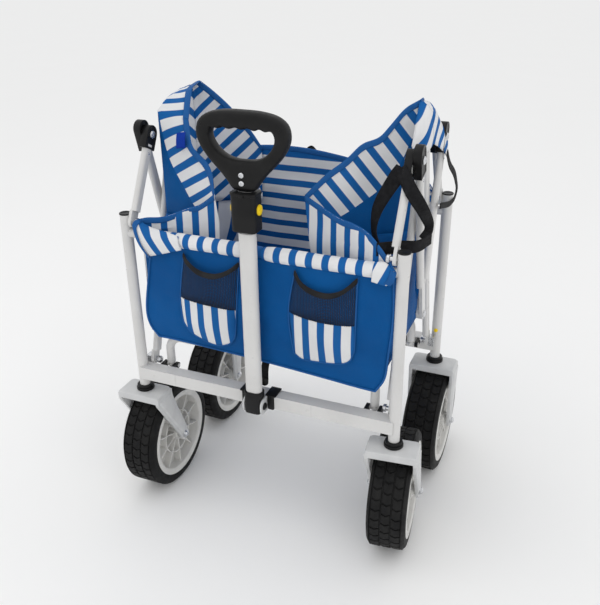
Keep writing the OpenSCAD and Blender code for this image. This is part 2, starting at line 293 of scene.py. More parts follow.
def box_part(low, high, rounding=0.0, steps=3, only=None):
    """A block between two corners with its edges rounded, or only those that a test picks."""
    part = bmesh.new()
    low, high = Vector(low), Vector(high)
    bmesh.ops.create_cube(part, size=1.0)
    part.transform(Matrix.Translation((low + high) / 2) @ Matrix.Diagonal((*(high - low), 1)))
    if rounding:
        edges = [e for e in part.edges if only is None or only(e)]
        bevelled(part, edges, rounding, steps)
    return part


def soften(part, rounding, steps=2, limit=25):
    """Rounds every edge of a part that is sharper than the limit, in degrees."""
    edges = [e for e in part.edges if e.calc_face_angle(0.0) > math.radians(limit)]
    bevelled(part, edges, rounding, steps, clamp_overlap=True)
    return part


def plate_part(outline, thickness, corners=None):
    """A plate across X from an outline of (y, z) points; corners gives (index, radius) to round."""
    part = bmesh.new()
    points = [part.verts.new((0, y, z)) for y, z in outline]
    part.faces.new(points)
    for index, radius in corners or ():
        bevelled(part, [points[index]], radius, 7, "VERTICES")
    made = bmesh.ops.extrude_face_region(part, geom=list(part.faces))
    bmesh.ops.translate(part, vec=(thickness, 0, 0),
                        verts=[v for v in made["geom"] if isinstance(v, bmesh.types.BMVert)])
    bmesh.ops.recalc_face_normals(part, faces=part.faces)
    return part


fork_plastic = moulded("grey_fork_plastic", (0.55, 0.555, 0.56), (0.62, 0.625, 0.625), 0.38, 1100, 0.00005)

WHEEL_RADIUS = 0.111
TRAIL = 0.0535
REAR_LEAD = 0.008
RIGHT_CASTER_TURN = math.radians(6)
FORK_TOP = 0.2433
FORK_WALL = 0.006
FORK_HALF = 0.045
FORK_FRONT = -0.03
FORK_REAR = 0.022
RIB_INSET = 0.0056
RIB_SLOPE = 0.0026
RIB_RISE = 0.0024
ARM_TOP = FORK_TOP - 0.0038
ARM_EDGE = 0.0005
AXLE_RADIUS = 0.0039


def fork_shape(back):
    """A fork under a leg that stands on the local Z axis, with its axle at y = back."""
    shape = bmesh.new()
    plate = box_part((-FORK_HALF, FORK_FRONT, FORK_TOP - FORK_WALL), (FORK_HALF, FORK_REAR, FORK_TOP), 0.009,
                     6,
                     lambda e: is_upright(e) and e.verts[0].co.y > 0)
    put(shape, soften(plate, 0.0042, 5), Matrix())
    lip = box_part((-FORK_HALF + 0.0003, FORK_FRONT + 0.0002, FORK_TOP - 0.0145),
                   (FORK_HALF - 0.0003, FORK_FRONT + FORK_WALL, FORK_TOP - 0.003), 0.0018, 3)
    put(shape, lip, Matrix())
    front, rear = FORK_FRONT + ARM_EDGE, FORK_REAR - ARM_EDGE
    arm = [(front, ARM_TOP), (rear, ARM_TOP), (rear, FORK_TOP - 0.018),
           (back + 0.0135, WHEEL_RADIUS + 0.002), (back + 0.0115, WHEEL_RADIUS - 0.0135),
           (back - 0.0115, WHEEL_RADIUS - 0.0135), (back - 0.0135, WHEEL_RADIUS + 0.002),
           (front, FORK_TOP - 0.017)]
    for side in (-1, 1):
        wall = plate_part(arm, FORK_WALL, [(4, 0.011), (5, 0.011), (2, 0.008), (7, 0.003)])
        outer = [f for f in wall.faces if f.normal.x > 0.9]
        bmesh.ops.inset_region(wall, faces=outer, thickness=RIB_INSET, use_even_offset=True)
        bmesh.ops.inset_region(wall, faces=outer, thickness=RIB_SLOPE, depth=RIB_RISE, use_even_offset=True)
        soften(wall, 0.0009, 2, 30)
        put(shape, wall, to_side(side) @ moved(FORK_HALF - FORK_WALL, 0, 0))
    boss = turned([(0, -0.001), (0.0165, -0.001), (0.0175, 0.0008), (0.017, 0.0016), (0, 0.0016)], 48)
    put(shape, boss, moved(0, 0, FORK_TOP - 0.0014))
    put(shape, rod(0.0058, 0, 0.02, 24), moved(0, 0, FORK_TOP - 0.004))
    return shape


CASTERS = {"right": moved(LEG_X, FRONT_Y, 0) @ Matrix.Rotation(RIGHT_CASTER_TURN, 4, "Z"),
           "left": moved(-LEG_X, FRONT_Y, 0)}
for side, place in CASTERS.items():
    fork = fork_shape(TRAIL)
    fork.transform(place)
    finished_piece(f"caster_{side}_fork", fork, fork_plastic, f"caster_{side}", [f"caster_fork_{side}"])
back_forks = bmesh.new()
put(back_forks, fork_shape(-REAR_LEAD), *both_legs(REAR_Y))
finished_piece("rear_wheel_forks", back_forks, fork_plastic, "rear_frame", ["rear_forks"])


# ---- Axles ----
# A zinc-plated bolt runs through each fork and wheel, with a domed head on a washer at
# one arm and a domed lock nut at the other.

def plated(name, dark, light, roughness):
    finish = new_finish(name, roughness, metallic=1.0)
    streak = spread(finish, noise(finish, 220, 3, (1, 1, 4)), 0.3, 0.7)
    drive(finish, "Base Color", between(finish, streak, dark, light))
    drive(finish, "Roughness", mottle(finish, 500, roughness - 0.08, roughness + 0.1))
    relief(finish, (noise(finish, 900, 2), 0.00003, 0.3))
    return finish


zinc = plated("zinc_plate", (0.55, 0.56, 0.58), (0.72, 0.73, 0.75), 0.26)
HEAD_OUTLINE = [(0, 0), (0.008, 0), (0.0084, 0.0006), (0.008, 0.0012), (0.006, 0.0012), (0.0062, 0.003),
                (0.005, 0.0048), (0.003, 0.0058), (0.0018, 0.0058), (0.0016, 0.0046), (0, 0.0046)]
ALONG_X = Matrix.Rotation(math.radians(90), 4, "Y")


def axle_shape(back):
    shape = bmesh.new()
    axle = moved(0, back, WHEEL_RADIUS)
    put(shape, rod(AXLE_RADIUS, -0.047, 0.047, 24), axle @ ALONG_X)
    put(shape, turned(HEAD_OUTLINE, 32),
        *[axle @ to_side(side) @ moved(FORK_HALF + 0.0016, 0, 0) @ ALONG_X
          for side in (-1, 1)])
    return shape


for side, place in CASTERS.items():
    axle = axle_shape(TRAIL)
    axle.transform(place)
    finished_piece(f"caster_{side}_bolt", axle, zinc, f"caster_{side}", [f"caster_axle_{side}"])
back_axles = bmesh.new()
put(back_axles, axle_shape(-REAR_LEAD), *both_legs(REAR_Y))
finished_piece("rear_wheel_bolts", back_axles, zinc, "rear_frame", ["rear_axles"])


# ---- Tyres ----
# Wide soft black treads are moulded over the rims. Three rows of chevron blocks run
# round the crown between two smooth shoulders.

def rubber_finish():
    finish = new_finish("black_tread_rubber", 0.66, specular=0.2)
    dust = spread(finish, noise(finish, 26, 5), 0.45, 0.75)
    drive(finish, "Base Color", between(finish, dust, (0.0055, 0.0055, 0.0058), (0.0145, 0.0143, 0.0138)))
    drive(finish, "Roughness", mottle(finish, 120, 0.55, 0.75))
    relief(finish, (noise(finish, 1600, 2), 0.00008, 0.5))
    return finish


rubber = rubber_finish()
TREAD_ROWS = 36
TREAD_COLUMNS = 3
CARCASS_RADIUS = 0.1085
COLUMN_WIDTH = 0.0182
BLOCK_LENGTH = 2 * math.pi * WHEEL_RADIUS / TREAD_ROWS - 0.0022
CHEVRON = 0.004
TYRE_OUTLINE = [(0.0895, -0.0345), (0.093, -0.035), (0.1, -0.035), (0.105, -0.0338), (0.1085, -0.0306),
                (0.1106, -0.0292), (0.1108, -0.0288), (CARCASS_RADIUS, -0.0283), (CARCASS_RADIUS, 0.0283),
                (0.1108, 0.0288), (0.1106, 0.0292), (0.1085, 0.0306), (0.105, 0.0338), (0.1, 0.035),
                (0.093, 0.035), (0.0895, 0.0345), (0.0895, -0.0345)]


def tread_block():
    """One chevron block, lying on the carcass at the top of the tyre, with its point along -Y."""
    half, width = BLOCK_LENGTH / 2, COLUMN_WIDTH / 2 - 0.0008
    part = bmesh.new()
    corners = [(-width, half), (0, half - CHEVRON), (width, half), (width, -half), (0, -half - CHEVRON),
               (-width, -half)]
    base = part.faces.new([part.verts.new((x, y + CHEVRON / 2, CARCASS_RADIUS - 0.001)) for x, y in corners])
    made = bmesh.ops.extrude_face_region(part, geom=[base])
    top = [v for v in made["geom"] if isinstance(v, bmesh.types.BMVert)]
    for vert in top:
        vert.co.z = math.sqrt(WHEEL_RADIUS ** 2 - vert.co.y ** 2)
        vert.co.x *= 0.95
        vert.co.y *= 0.95
    bmesh.ops.recalc_face_normals(part, faces=part.faces)
    crown = [e for e in part.edges if all(v in top for v in e.verts)]
    bevelled(part, crown, 0.0007, 1)
    return part


def tyre_shape():
    """A tyre about the X axis."""
    shape = bmesh.new()
    put(shape, turned(TYRE_OUTLINE, 96), ALONG_X)
    step = 2 * math.pi / TREAD_ROWS
    places = [Matrix.Rotation(step * (row + 0.33 * column), 4, "X")
              @ moved((column - 1) * (COLUMN_WIDTH + 0.0004), 0, 0)
              for row in range(TREAD_ROWS) for column in range(TREAD_COLUMNS)]
    put(shape, tread_block(), *places)
    return shape


WHEELS = {"front_right": CASTERS["right"] @ moved(0, TRAIL, WHEEL_RADIUS),
          "front_left": CASTERS["left"] @ moved(0, TRAIL, WHEEL_RADIUS),
          "rear_right": moved(LEG_X, REAR_Y - REAR_LEAD, WHEEL_RADIUS),
          "rear_left": moved(-LEG_X, REAR_Y - REAR_LEAD, WHEEL_RADIUS)}
for corner, place in WHEELS.items():
    tyre = tyre_shape()
    tyre.transform(place)
    finished_piece(f"tread_{corner}", tyre, rubber, f"wheel_{corner}", [f"tyre_{corner}"])


# ---- Rims ----
# The rims are pale grey moulded plastic: a barrel with a lip at each side, a thin web in
# the middle, a ring half way out, radial ribs and a long hub for the axle.

rim_plastic = moulded("grey_rim_plastic", (0.6, 0.595, 0.575), (0.68, 0.672, 0.65), 0.34, 900, 0.00005)
RIB_COUNT = 10
RIM_OUTLINE = [(0.0905, -0.0338), (0.0895, -0.0352), (0.085, -0.0358), (0.08, -0.035), (0.0778, -0.0328),
               (0.0765, -0.02), (0.076, -0.013), (0.016, -0.013), (0.016, -0.033), (0.0148, -0.0342),
               (0.0046, -0.0342), (0.0046, 0.0342), (0.0148, 0.0342), (0.016, 0.033), (0.016, 0.013),
               (0.076, 0.013), (0.0765, 0.02), (0.0778, 0.0328), (0.08, 0.035), (0.085, 0.0358),
               (0.0895, 0.0352), (0.0905, 0.0338), (0.0905, -0.0338)]
RING_OUTLINE = [(0.0438, -0.0276), (0.0443, -0.0282), (0.0459, -0.0282), (0.0464, -0.0276),
                (0.0464, 0.0276), (0.0459, 0.0282), (0.0443, 0.0282), (0.0438, 0.0276), (0.0438, -0.0276)]
SPACER_OUTLINE = [(0.0044, 0.0335), (0.0098, 0.0335), (0.0098, 0.0383), (0.009, 0.0388), (0.0044, 0.0388),
                  (0.0044, 0.0335)]


def rim_shape():
    """A rim about the X axis."""
    shape = bmesh.new()
    put(shape, turned(RIM_OUTLINE, 96), ALONG_X)
    put(shape, turned(RING_OUTLINE, 72), ALONG_X)
    put(shape, turned(SPACER_OUTLINE, 32), ALONG_X, to_side(-1) @ ALONG_X)
    rib = plate_part([(-0.0282, 0.015), (-0.0282, 0.0775), (0.0282, 0.0775), (0.0282, 0.015)], 0.0028)
    rib.transform(Matrix.Rotation(math.radians(90), 4, "Z") @ moved(-0.0014, 0, 0))
    soften(rib, 0.0005, 1)
    put(shape, rib, *[Matrix.Rotation(2 * math.pi * i / RIB_COUNT, 4, "X") for i in range(RIB_COUNT)])
    return shape


for corner, place in WHEELS.items():
    rim = rim_shape()
    rim.transform(place)
    finished_piece(f"rib_rim_{corner}", rim, rim_plastic, f"wheel_{corner}", [f"rim_{corner}"])


# ---- Hinge caps of the side bars ----
# Each folding joint at the top of the side bars is two black moulded end caps, one on the
# knee bar and one on the short link, pinned through. A shallow panel is sunk in each face.

BAR_PLANE = 0.2339
KNEE_PLANE = 0.2475
KNEE_CAP_HALF = 0.0067
LINK_CAP_HALF = 0.0063
BAR_HALF_WIDTH = 0.0056
KNEE = Vector((0, -0.10174, 0.72472))
LOWER_JOINT = Vector((0, MID_Y, 0.425))
PEAK = Vector((0, MID_Y, 0.765))
LINK_FOOT = Vector((0, FRONT_Y, 0.5885))
BAR_FOOT = Vector((0, FRONT_Y + 0.023, 0.3))
TO_REAR = moved(0, 2 * MID_Y, 0) @ Matrix.Scale(-1, 4, (0, 1, 0))
ENDS = {"front": Matrix(), "rear": TO_REAR}


def both_sides(*places):
    """The places given, for the right side, and then the same on the left."""
    return [*places, *[to_side(-1) @ place for place in places]]


def leaning(point, toward):
    """The place of a piece at a point whose own Z runs along a bar, away from another point."""
    run = point - toward
    return Matrix.Translation(point) @ Matrix.Rotation(-math.atan2(run.y, run.z), 4, "X")


def hinge_cap(half_width, low, high):
    cap = box_part((-half_width, -0.0148, low), (half_width, 0.0148, high), 0.0143, 9,
                   lambda e: abs(e.verts[0].co.z - high) + abs(e.verts[1].co.z - high) < 1e-6
                   and abs(e.verts[0].co.x - e.verts[1].co.x) > 1e-6)
    faces = [f for f in cap.faces if abs(f.normal.x) > 0.9]
    bmesh.ops.inset_individual(cap, faces=faces, thickness=0.0034, depth=0, use_even_offset=True)
    bmesh.ops.inset_individual(cap, faces=faces, thickness=0.0008, depth=-0.0008, use_even_offset=True)
    return soften(cap, 0.0011, 2, 40)


for end, to_end in ENDS.items():
    for word, plane, toward, cap, body, stands_for in (
            ("knee_bar", KNEE_PLANE, LOWER_JOINT, (KNEE_CAP_HALF, -0.027, 0.025), "knee",
             [f"{end}_knee_caps"]),
            ("link", BAR_PLANE, LINK_FOOT, (LINK_CAP_HALF, -0.026, 0.016), "link", ())):
        caps = bmesh.new()
        put(caps, hinge_cap(*cap), *both_sides(to_end @ moved(plane, 0, 0) @ leaning(KNEE, toward)))
        finished_piece(f"{end}_{word}_caps", caps, black_plastic, f"{end}_{body}", stands_for)


# ---- Pivot bolts of the side bars ----
# Zinc-plated shoulder bolts with low domed heads pin the bars to the legs, to each other
# and to the lugs on the lower bar. A small rivet fixes each hinge cap to its bar.

LOW_HEAD = [(0, -0.0002), (0.0066, -0.0002), (0.0068, 0.0006), (0.006, 0.0018), (0.004, 0.0028),
            (0.0021, 0.003), (0.0018, 0.0018), (0, 0.0018)]
RIVET = [(0, -0.0003), (0.0026, -0.0003), (0.0024, 0.0006), (0.0013, 0.0013), (0, 0.0015)]
KNEE_FACE = KNEE_PLANE + KNEE_CAP_HALF
BAR_FACE = BAR_PLANE - LINK_CAP_HALF


def facing(outward, x, point):
    """The place of a head on a face across X: pointing away from the cart, or toward its middle."""
    turn = Matrix.Rotation(math.radians(90 if outward else -90), 4, "Y")
    return moved(x, point.y, point.z) @ turn


for end, to_end in ENDS.items():
    heads = bmesh.new()
    spots = [to_end @ facing(True, KNEE_FACE, KNEE), to_end @ facing(False, BAR_FACE, KNEE)]
    put(heads, turned(LOW_HEAD, 28), *both_sides(*spots))
    pin = rod(AXLE_RADIUS, 0, KNEE_FACE - BAR_FACE, 20)
    put(heads, pin, *both_sides(to_end @ facing(True, BAR_FACE, KNEE)))
    finished_piece(f"{end}_knee_heads", heads, zinc, f"{end}_link", [f"{end}_knee_bolts"])

    rivets = bmesh.new()
    below = KNEE - (KNEE - LINK_FOOT).normalized() * 0.034
    put(rivets, turned(RIVET, 16), *both_sides(to_end @ facing(False, BAR_PLANE - BAR_HALF_WIDTH, below)))
    finished_piece(f"{end}_link_rivets", rivets, zinc, f"{end}_link")
    rivets = bmesh.new()
    below = KNEE - (KNEE - LOWER_JOINT).normalized() * 0.036
    spots = [to_end @ facing(outward, KNEE_PLANE + step, below)
             for outward, step in ((False, -BAR_HALF_WIDTH), (True, BAR_HALF_WIDTH))]
    put(rivets, turned(RIVET, 16), *both_sides(*spots))
    finished_piece(f"{end}_knee_rivets", rivets, zinc, f"{end}_knee")

    heads = bmesh.new()
    spots = [to_end @ facing(False, BAR_PLANE - 0.0096, p) for p in (LINK_FOOT, BAR_FOOT)]
    put(heads, turned(LOW_HEAD, 28), *both_sides(*spots))
    finished_piece(f"{end}_pivot_heads", heads, zinc, f"{end}_frame")
    refinish(f"{end}_pivot_bolts", zinc)

half = 0.0062
for body, x, point in (("front_long", BAR_PLANE, PEAK), ("front_knee", KNEE_PLANE, LOWER_JOINT)):
    pins = bmesh.new()
    spots = [facing(True, x + half, point), facing(False, x - half, point)]
    put(pins, turned(LOW_HEAD, 28), *both_sides(*spots))
    put(pins, rod(0.0038, 0, 2 * half, 20), *both_sides(facing(True, x - half, point)))
    finished_piece(f"{body}_joint_pins", pins, zinc, body)


# ---- Floor arch clips and catch ----
# Black moulded clips on the lower bars hold the feet of the two floor arches. Their
# moulded surface matches the plugs and bearings. The right rear leg has a yellow catch.

for end in ENDS:
    refinish(f"{end}_arch_clips", black_plastic)

yellow_plastic = moulded("yellow_moulded_plastic", (0.83, 0.56, 0.005), (0.9, 0.64, 0.012), 0.36, 1200,
                         0.00003)
CATCH_OUTLINE = [(0, -0.002), (0.004, -0.002), (0.004, 0.0096), (0.0036, 0.0106), (0.0026, 0.0113),
                 (0, 0.0116)]
catch = turned(CATCH_OUTLINE, 28)
catch_middle = (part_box("leg_button")[0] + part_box("leg_button")[1]) / 2
catch.transform(moved(catch_middle.x, REAR_Y - 0.0012, catch_middle.z)
                @ Matrix.Rotation(math.radians(90), 4, "X"))
finished_piece("fold_catch_button", catch, yellow_plastic, "snap_button", ["leg_button"])


# ---- Handle foot ----
# Two pale moulded cheeks clamp round the front lower bar with black straps, and a black
# bolt between them carries the socket at the foot of the handle tube.

HUB = Vector((0, FRONT_Y - 0.027, 0.283))
BAR_HALF = 0.0125
BAR_Z = 0.284

cheeks = bmesh.new()
cheek = plate_part([(HUB.y - 0.0125, HUB.z + 0.015), (FRONT_Y - BAR_HALF, HUB.z + 0.015),
                    (FRONT_Y - BAR_HALF, HUB.z - 0.015), (HUB.y - 0.0125, HUB.z - 0.015)],
                   0.003, [(0, 0.0115), (3, 0.0115)])
soften(cheek, 0.0008, 2, 40)
put(cheeks, cheek, *both_sides(moved(0.0155, 0, 0)))
finished_piece("handle_cheeks", cheeks, fork_plastic, "front_frame", ["handle_bracket"])

clamps = bmesh.new()
band = box_part((0.0188, FRONT_Y - 0.0155, BAR_Z - 0.0148), (0.0315, FRONT_Y + 0.0155, BAR_Z + 0.0155),
                0.0026, 3)
flange = box_part((0.015, FRONT_Y - 0.0155, BAR_Z + 0.0126), (0.035, FRONT_Y + 0.015, BAR_Z + 0.016), 0.0012,
                  2)
for part in (band, flange):
    put(clamps, part, *both_sides(Matrix()))
finished_piece("bar_clamps", clamps, black_plastic, "front_frame")

bolt = bmesh.new()
put(bolt, rod(AXLE_RADIUS, -0.019, 0.019, 24), Matrix.Translation(HUB) @ ALONG_X)
BOLT_HEAD = [(0, 0), (0.0068, 0), (0.007, 0.0008), (0.0062, 0.0024), (0.004, 0.0036), (0.0022, 0.0036),
             (0.0019, 0.0022), (0, 0.0022)]
put(bolt, turned(BOLT_HEAD, 32),
    *[to_side(side) @ moved(0.0186, HUB.y, HUB.z) @ ALONG_X for side in (-1, 1)])
finished_piece("handle_foot_bolt", bolt, black_plastic, "front_frame", ["handle_pivot_bolt"])

socket = bmesh.new()
cup = box_part((-0.015, HUB.y - 0.0135, HUB.z - 0.013), (0.015, HUB.y + 0.0125, HUB.z + 0.024), 0.0068, 5,
               is_upright)
put(socket, soften(cup, 0.0022, 3, 50), Matrix())
collar_ring = box_part((-0.0172, HUB.y - 0.0128, HUB.z + 0.018), (0.0172, HUB.y + 0.0128, HUB.z + 0.03),
                       0.0098, 7,
                       is_upright)
put(socket, soften(collar_ring, 0.0016, 2, 50), Matrix())
finished_piece("handle_foot_socket", socket, black_plastic, "pull_handle", ["handle_socket"])


# ---- Handle collar and its buttons ----
# A black moulded collar crowns the oval outer tube and guides the inner tube. A yellow
# spring button on each side lets the inner tube slide.

COLLAR_LOW, COLLAR_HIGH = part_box("handle_collar")[0].z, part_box("handle_collar")[1].z
collar = bmesh.new()
body = box_part((-0.0216, HUB.y - 0.0162, COLLAR_LOW + 0.003), (0.0216, HUB.y + 0.0162, COLLAR_HIGH), 0.0078,
                6,
                is_upright)
soften(body, 0.0034, 4, 50)
put(collar, body, Matrix())
rim = box_part((-0.0226, HUB.y - 0.017, COLLAR_HIGH - 0.0062), (0.0226, HUB.y + 0.017, COLLAR_HIGH - 0.0008),
               0.008, 6,
               is_upright)
put(collar, soften(rim, 0.0014, 2, 50), Matrix())
tab = box_part((-0.0042, HUB.y - 0.0186, COLLAR_HIGH - 0.0075), (0.0042, HUB.y - 0.015, COLLAR_HIGH - 0.0012),
               0.0012, 2)
put(collar, tab, Matrix())
finished_piece("handle_collar_shell", collar, black_plastic, "pull_handle", ["handle_collar"])

BUTTON_OUTLINE = [(0, -0.003), (0.0076, -0.003), (0.0076, 0.003), (0.007, 0.0044), (0.005, 0.0054),
                  (0, 0.0058)]
for side, name in ((1, "right"), (-1, "left")):
    button = turned(BUTTON_OUTLINE, 36)
    button.transform(to_side(side) @ moved(0.0204, HUB.y, COLLAR_HIGH - 0.029)
                     @ ALONG_X @ Matrix.Scale(1.16, 4, (1, 0, 0)))
    finished_piece(f"collar_{name}_button", button, yellow_plastic, f"button_{name}",
                   [f"collar_button_{name}"])
inner_steel = plated("brushed_inner_tube", (0.6, 0.6, 0.61), (0.74, 0.74, 0.75), 0.32)
refinish("handle_inner_tube", inner_steel)


# ---- D grip ----
# A black soft-touch D grip is moulded round the top of the inner tube, with finger waves
# under its bar and a flared neck that two screws fix to the tube.

black_grip = moulded("black_soft_grip", (0.0042, 0.0042, 0.0045), (0.0085, 0.0085, 0.0088), 0.47, 700,
                     0.00012)
GRIP_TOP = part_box("handle_grip")[1].z
GRIP_OUTER = [(0, 0), (0.02, 0), (0.038, -0.0015), (0.054, -0.005), (0.0665, -0.011), (0.0745, -0.02),
              (0.0775, -0.0325), (0.0765, -0.0455), (0.07, -0.06), (0.06, -0.0735), (0.049, -0.085),
              (0.038, -0.096), (0.029, -0.107), (0.0225, -0.116), (0.0185, -0.1236), (0.009, -0.1236)]
GRIP_INNER = [(0, -0.032), (0.0105, -0.024), (0.0205, -0.0325), (0.029, -0.024), (0.038, -0.032),
              (0.0465, -0.0255),
              (0.052, -0.0305), (0.0545, -0.0385), (0.0525, -0.048), (0.046, -0.058), (0.038, -0.0655),
              (0.029, -0.0705), (0.021, -0.0728), (0.014, -0.0738), (0.008, -0.0742), (0.004, -0.0743)]
GRIP_DEPTH = 0.0136
LYING_BACK = Matrix.Rotation(math.radians(90), 4, "X")
NECK_SCREW = [(0, -0.001), (0.0042, -0.001), (0.0044, 0.0004), (0.0036, 0.0014), (0.002, 0.0019),
              (0.0013, 0.0008), (0, 0.0008)]
SHOULDER_SCREW = [(0, -0.002), (0.0024, -0.002), (0.0026, 0.0002), (0.0014, 0.0006), (0.001, -0.0004),
                  (0, -0.0004)]


def ring_of(half):
    """A closed loop of points from its right half, which starts on the middle line."""
    left = [(-x, z) for x, z in reversed(half[1:])]
    return [Vector((x, 0, z)) for x, z in half + left]


def grip_loop(shape, points, depth):
    verts = [shape.verts.new((p.x, HUB.y + depth, GRIP_TOP + p.z)) for p in points]
    return [shape.edges.new((verts[i], verts[(i + 1) % len(verts)])) for i in range(len(verts))]


grip = bmesh.new()
outer, inner = ring_of(GRIP_OUTER), ring_of(GRIP_INNER)
middle = [(a + b) / 2 for a, b in zip(outer, inner)]
near_outer = [b.lerp(a, 0.88) for a, b in zip(outer, inner)]
near_inner = [a.lerp(b, 0.88) for a, b in zip(outer, inner)]
section = [(outer, -0.55), (near_outer, -0.9), (middle, -1.0), (near_inner, -0.9), (inner, -0.5),
           (inner, 0.5), (near_inner, 0.9), (middle, 1.0), (near_outer, 0.9), (outer, 0.55)]
loops = [grip_loop(grip, points, GRIP_DEPTH * share) for points, share in section]
for first, second in zip(loops, loops[1:] + loops[:1]):
    bmesh.ops.bridge_loops(grip, edges=first + second)
grip_piece = finished_piece("soft_grip", grip, black_grip, "handle_slider", ["handle_grip"])
rounding = grip_piece.modifiers.new("rounding", "SUBSURF")
rounding.levels = rounding.render_levels = 2

screws = bmesh.new()
put(screws, turned(NECK_SCREW, 28),
    *[moved(0, HUB.y - GRIP_DEPTH - 0.0002, z) @ LYING_BACK for z in (0.6935, 0.7065)])
finished_piece("grip_screw_heads", screws, zinc, "handle_slider", ["grip_screws"])
screws = bmesh.new()
put(screws, turned(SHOULDER_SCREW, 20),
    *[moved(x, HUB.y - GRIP_DEPTH * 0.93, 0.779) @ LYING_BACK for x in (-0.0648, 0.0648)])
finished_piece("grip_shoulder_screws", screws, black_plastic, "handle_slider")


# ---- Basket sides, front halves ----
# The basket is heavy coated canvas, royal blue outside with a striped lining. Folded, each side
# tucks inward in front of its peak, and a wide striped hem runs round its upper edge.
# The hem is sewn, and the peak is sleeved over the long side bars.

STRIPE = 0.028
THREAD = 0.0011
THREAD_DEPTH = 0.00022
STRIPE_BLUR = 0.012
SIDES = ((1, "right"), (-1, "left"))


def cloth_place(finish):
    """The panel's own metres: along its stripes' crossing, and down from its hem."""
    return add_node(finish, "ShaderNodeSeparateXYZ",
                    {"Vector": add_node(finish, "ShaderNodeUVMap", uv_map="cloth").outputs["UV"]}).outputs


def ripple(finish, along, period):
    """A sine wave that repeats once in each period, in metres."""
    return sums(finish, "SINE", sums(finish, "MULTIPLY", along, 2 * math.pi / period))


def weave(finish, place):
    """A plain weave and slow folds, as bumps."""
    warp, weft = ripple(finish, place["X"], THREAD), ripple(finish, place["Y"], THREAD)
    relief(finish, (noise(finish, 28, 3), 0.0035, 0.3), (noise(finish, 110, 3), 0.0009, 0.22),
           (sums(finish, "MULTIPLY", warp, weft), THREAD_DEPTH, 0.45))


def plain_canvas(name, dark, light, roughness=0.62):
    finish = new_finish(name, roughness, specular=0.12)
    place = cloth_place(finish)
    tone = spread(finish, noise(finish, 9, 4), 0.32, 0.68)
    fleck = spread(finish, noise(finish, 900, 2), 0.35, 0.65, 0.0, 0.3)
    drive(finish, "Base Color",
          between(finish, fleck, between(finish, tone, dark, light), tuple(0.8 * c for c in dark)))
    drive(finish, "Roughness", mottle(finish, 45, roughness - 0.07, roughness + 0.08))
    weave(finish, place)
    return finish


def striped_canvas(name, blue, white, shift=0.0, blue_share=0.43):
    """Woven stripes one period apart; shift slides them along by a share of the period."""
    finish = new_finish(name, 0.66, specular=0.15)
    place = cloth_place(finish)
    turn = sums(finish, "FRACT", sums(finish, "ADD", sums(finish, "DIVIDE", place["X"], STRIPE), 40 + shift))
    off_middle = sums(finish, "ABSOLUTE", sums(finish, "SUBTRACT", turn, 0.5))
    is_blue = spread(finish, off_middle, blue_share / 2 - STRIPE_BLUR, blue_share / 2 + STRIPE_BLUR, 1.0, 0.0)
    tone = spread(finish, noise(finish, 12, 4), 0.3, 0.7)
    pale = between(finish, tone, tuple(0.9 * c for c in white), white)
    deep = between(finish, tone, tuple(0.8 * c for c in blue), blue)
    drive(finish, "Base Color", between(finish, is_blue, pale, deep))
    drive(finish, "Roughness", mottle(finish, 50, 0.58, 0.74))
    weave(finish, place)
    return finish


blue_canvas = plain_canvas("royal_blue_canvas", (0.0001, 0.07, 0.25), (0.0005, 0.094, 0.32))
striped_outer = striped_canvas("striped_hem_canvas", (0.007, 0.122, 0.4), (0.8, 0.805, 0.815))
striped_lining = striped_canvas("striped_lining_canvas", (0.007, 0.122, 0.4), (0.8, 0.805, 0.815), 0.35)
BASKET_CANVAS = (striped_outer, blue_canvas, striped_lining, striped_lining)


def run_of(points, count):
    """Evenly spaced points on a smooth curve through the given ones."""
    given = [Vector(p) for p in points]
    ends = [2 * given[0] - given[1], *given, 2 * given[-1] - given[-2]]
    fine = []
    for a, b, c, d in zip(ends, ends[1:], ends[2:], ends[3:]):
        for step in range(16):
            t = step / 16
            fine.append((2 * b + (c - a) * t + (2 * a - 5 * b + 4 * c - d) * t * t
                         + (3 * b - a - 3 * c + d) * t ** 3) / 2)
    fine.append(given[-1])
    reach = [0.0]
    for a, b in zip(fine, fine[1:]):
        reach.append(reach[-1] + (b - a).length)
    spots, at = [], 0
    for k in range(count):
        goal = reach[-1] * k / (count - 1)
        while at < len(reach) - 2 and reach[at + 1] < goal:
            at += 1
        step = reach[at + 1] - reach[at]
        spots.append(fine[at].lerp(fine[at + 1], (goal - reach[at]) / step if step > 1e-9 else 0))
    return spots


def cloth(shape, rows, along, down, stripes=(1, 0, 0), layer=0, slack=0.0):
    """Adds a panel of cloth through rows of points, each row from the hem down.

    The stripes cross the given direction, and slack is the height of the cloth's own waves."""
    paint = shape.loops.layers.uv.get("cloth") or shape.loops.layers.uv.new("cloth")
    falls = [run_of(row, down + 1) for row in rows]
    lines = [run_of([fall[j] for fall in falls], along + 1) for j in range(down + 1)]
    grid = bmesh.ops.create_grid(shape, x_segments=along, y_segments=down, size=1)["verts"]
    below = {}
    for vert in grid:
        i, j = round((vert.co.x + 1) / 2 * along), round((vert.co.y + 1) / 2 * down)
        below[vert] = (lines[j][i] - lines[0][i]).length
        ease = math.sin(math.pi * i / along) * math.sin(math.pi * j / down)
        vert.co = lines[j][i]
        if slack:
            before, after = lines[j][max(i - 1, 0)], lines[j][min(i + 1, along)]
            over, under = lines[max(j - 1, 0)][i], lines[min(j + 1, down)][i]
            lift = (after - before).cross(under - over).normalized()
            vert.co += lift * slack * math.sqrt(max(ease, 0)) * wrinkle.noise(Vector(lines[j][i]) * 22)
    crossing = Vector(stripes).normalized()
    for face in {face for vert in grid for face in vert.link_faces}:
        face.material_index = layer
        for corner in face.loops:
            corner[paint].uv = (corner.vert.co.dot(crossing), below[corner.vert])
    return shape


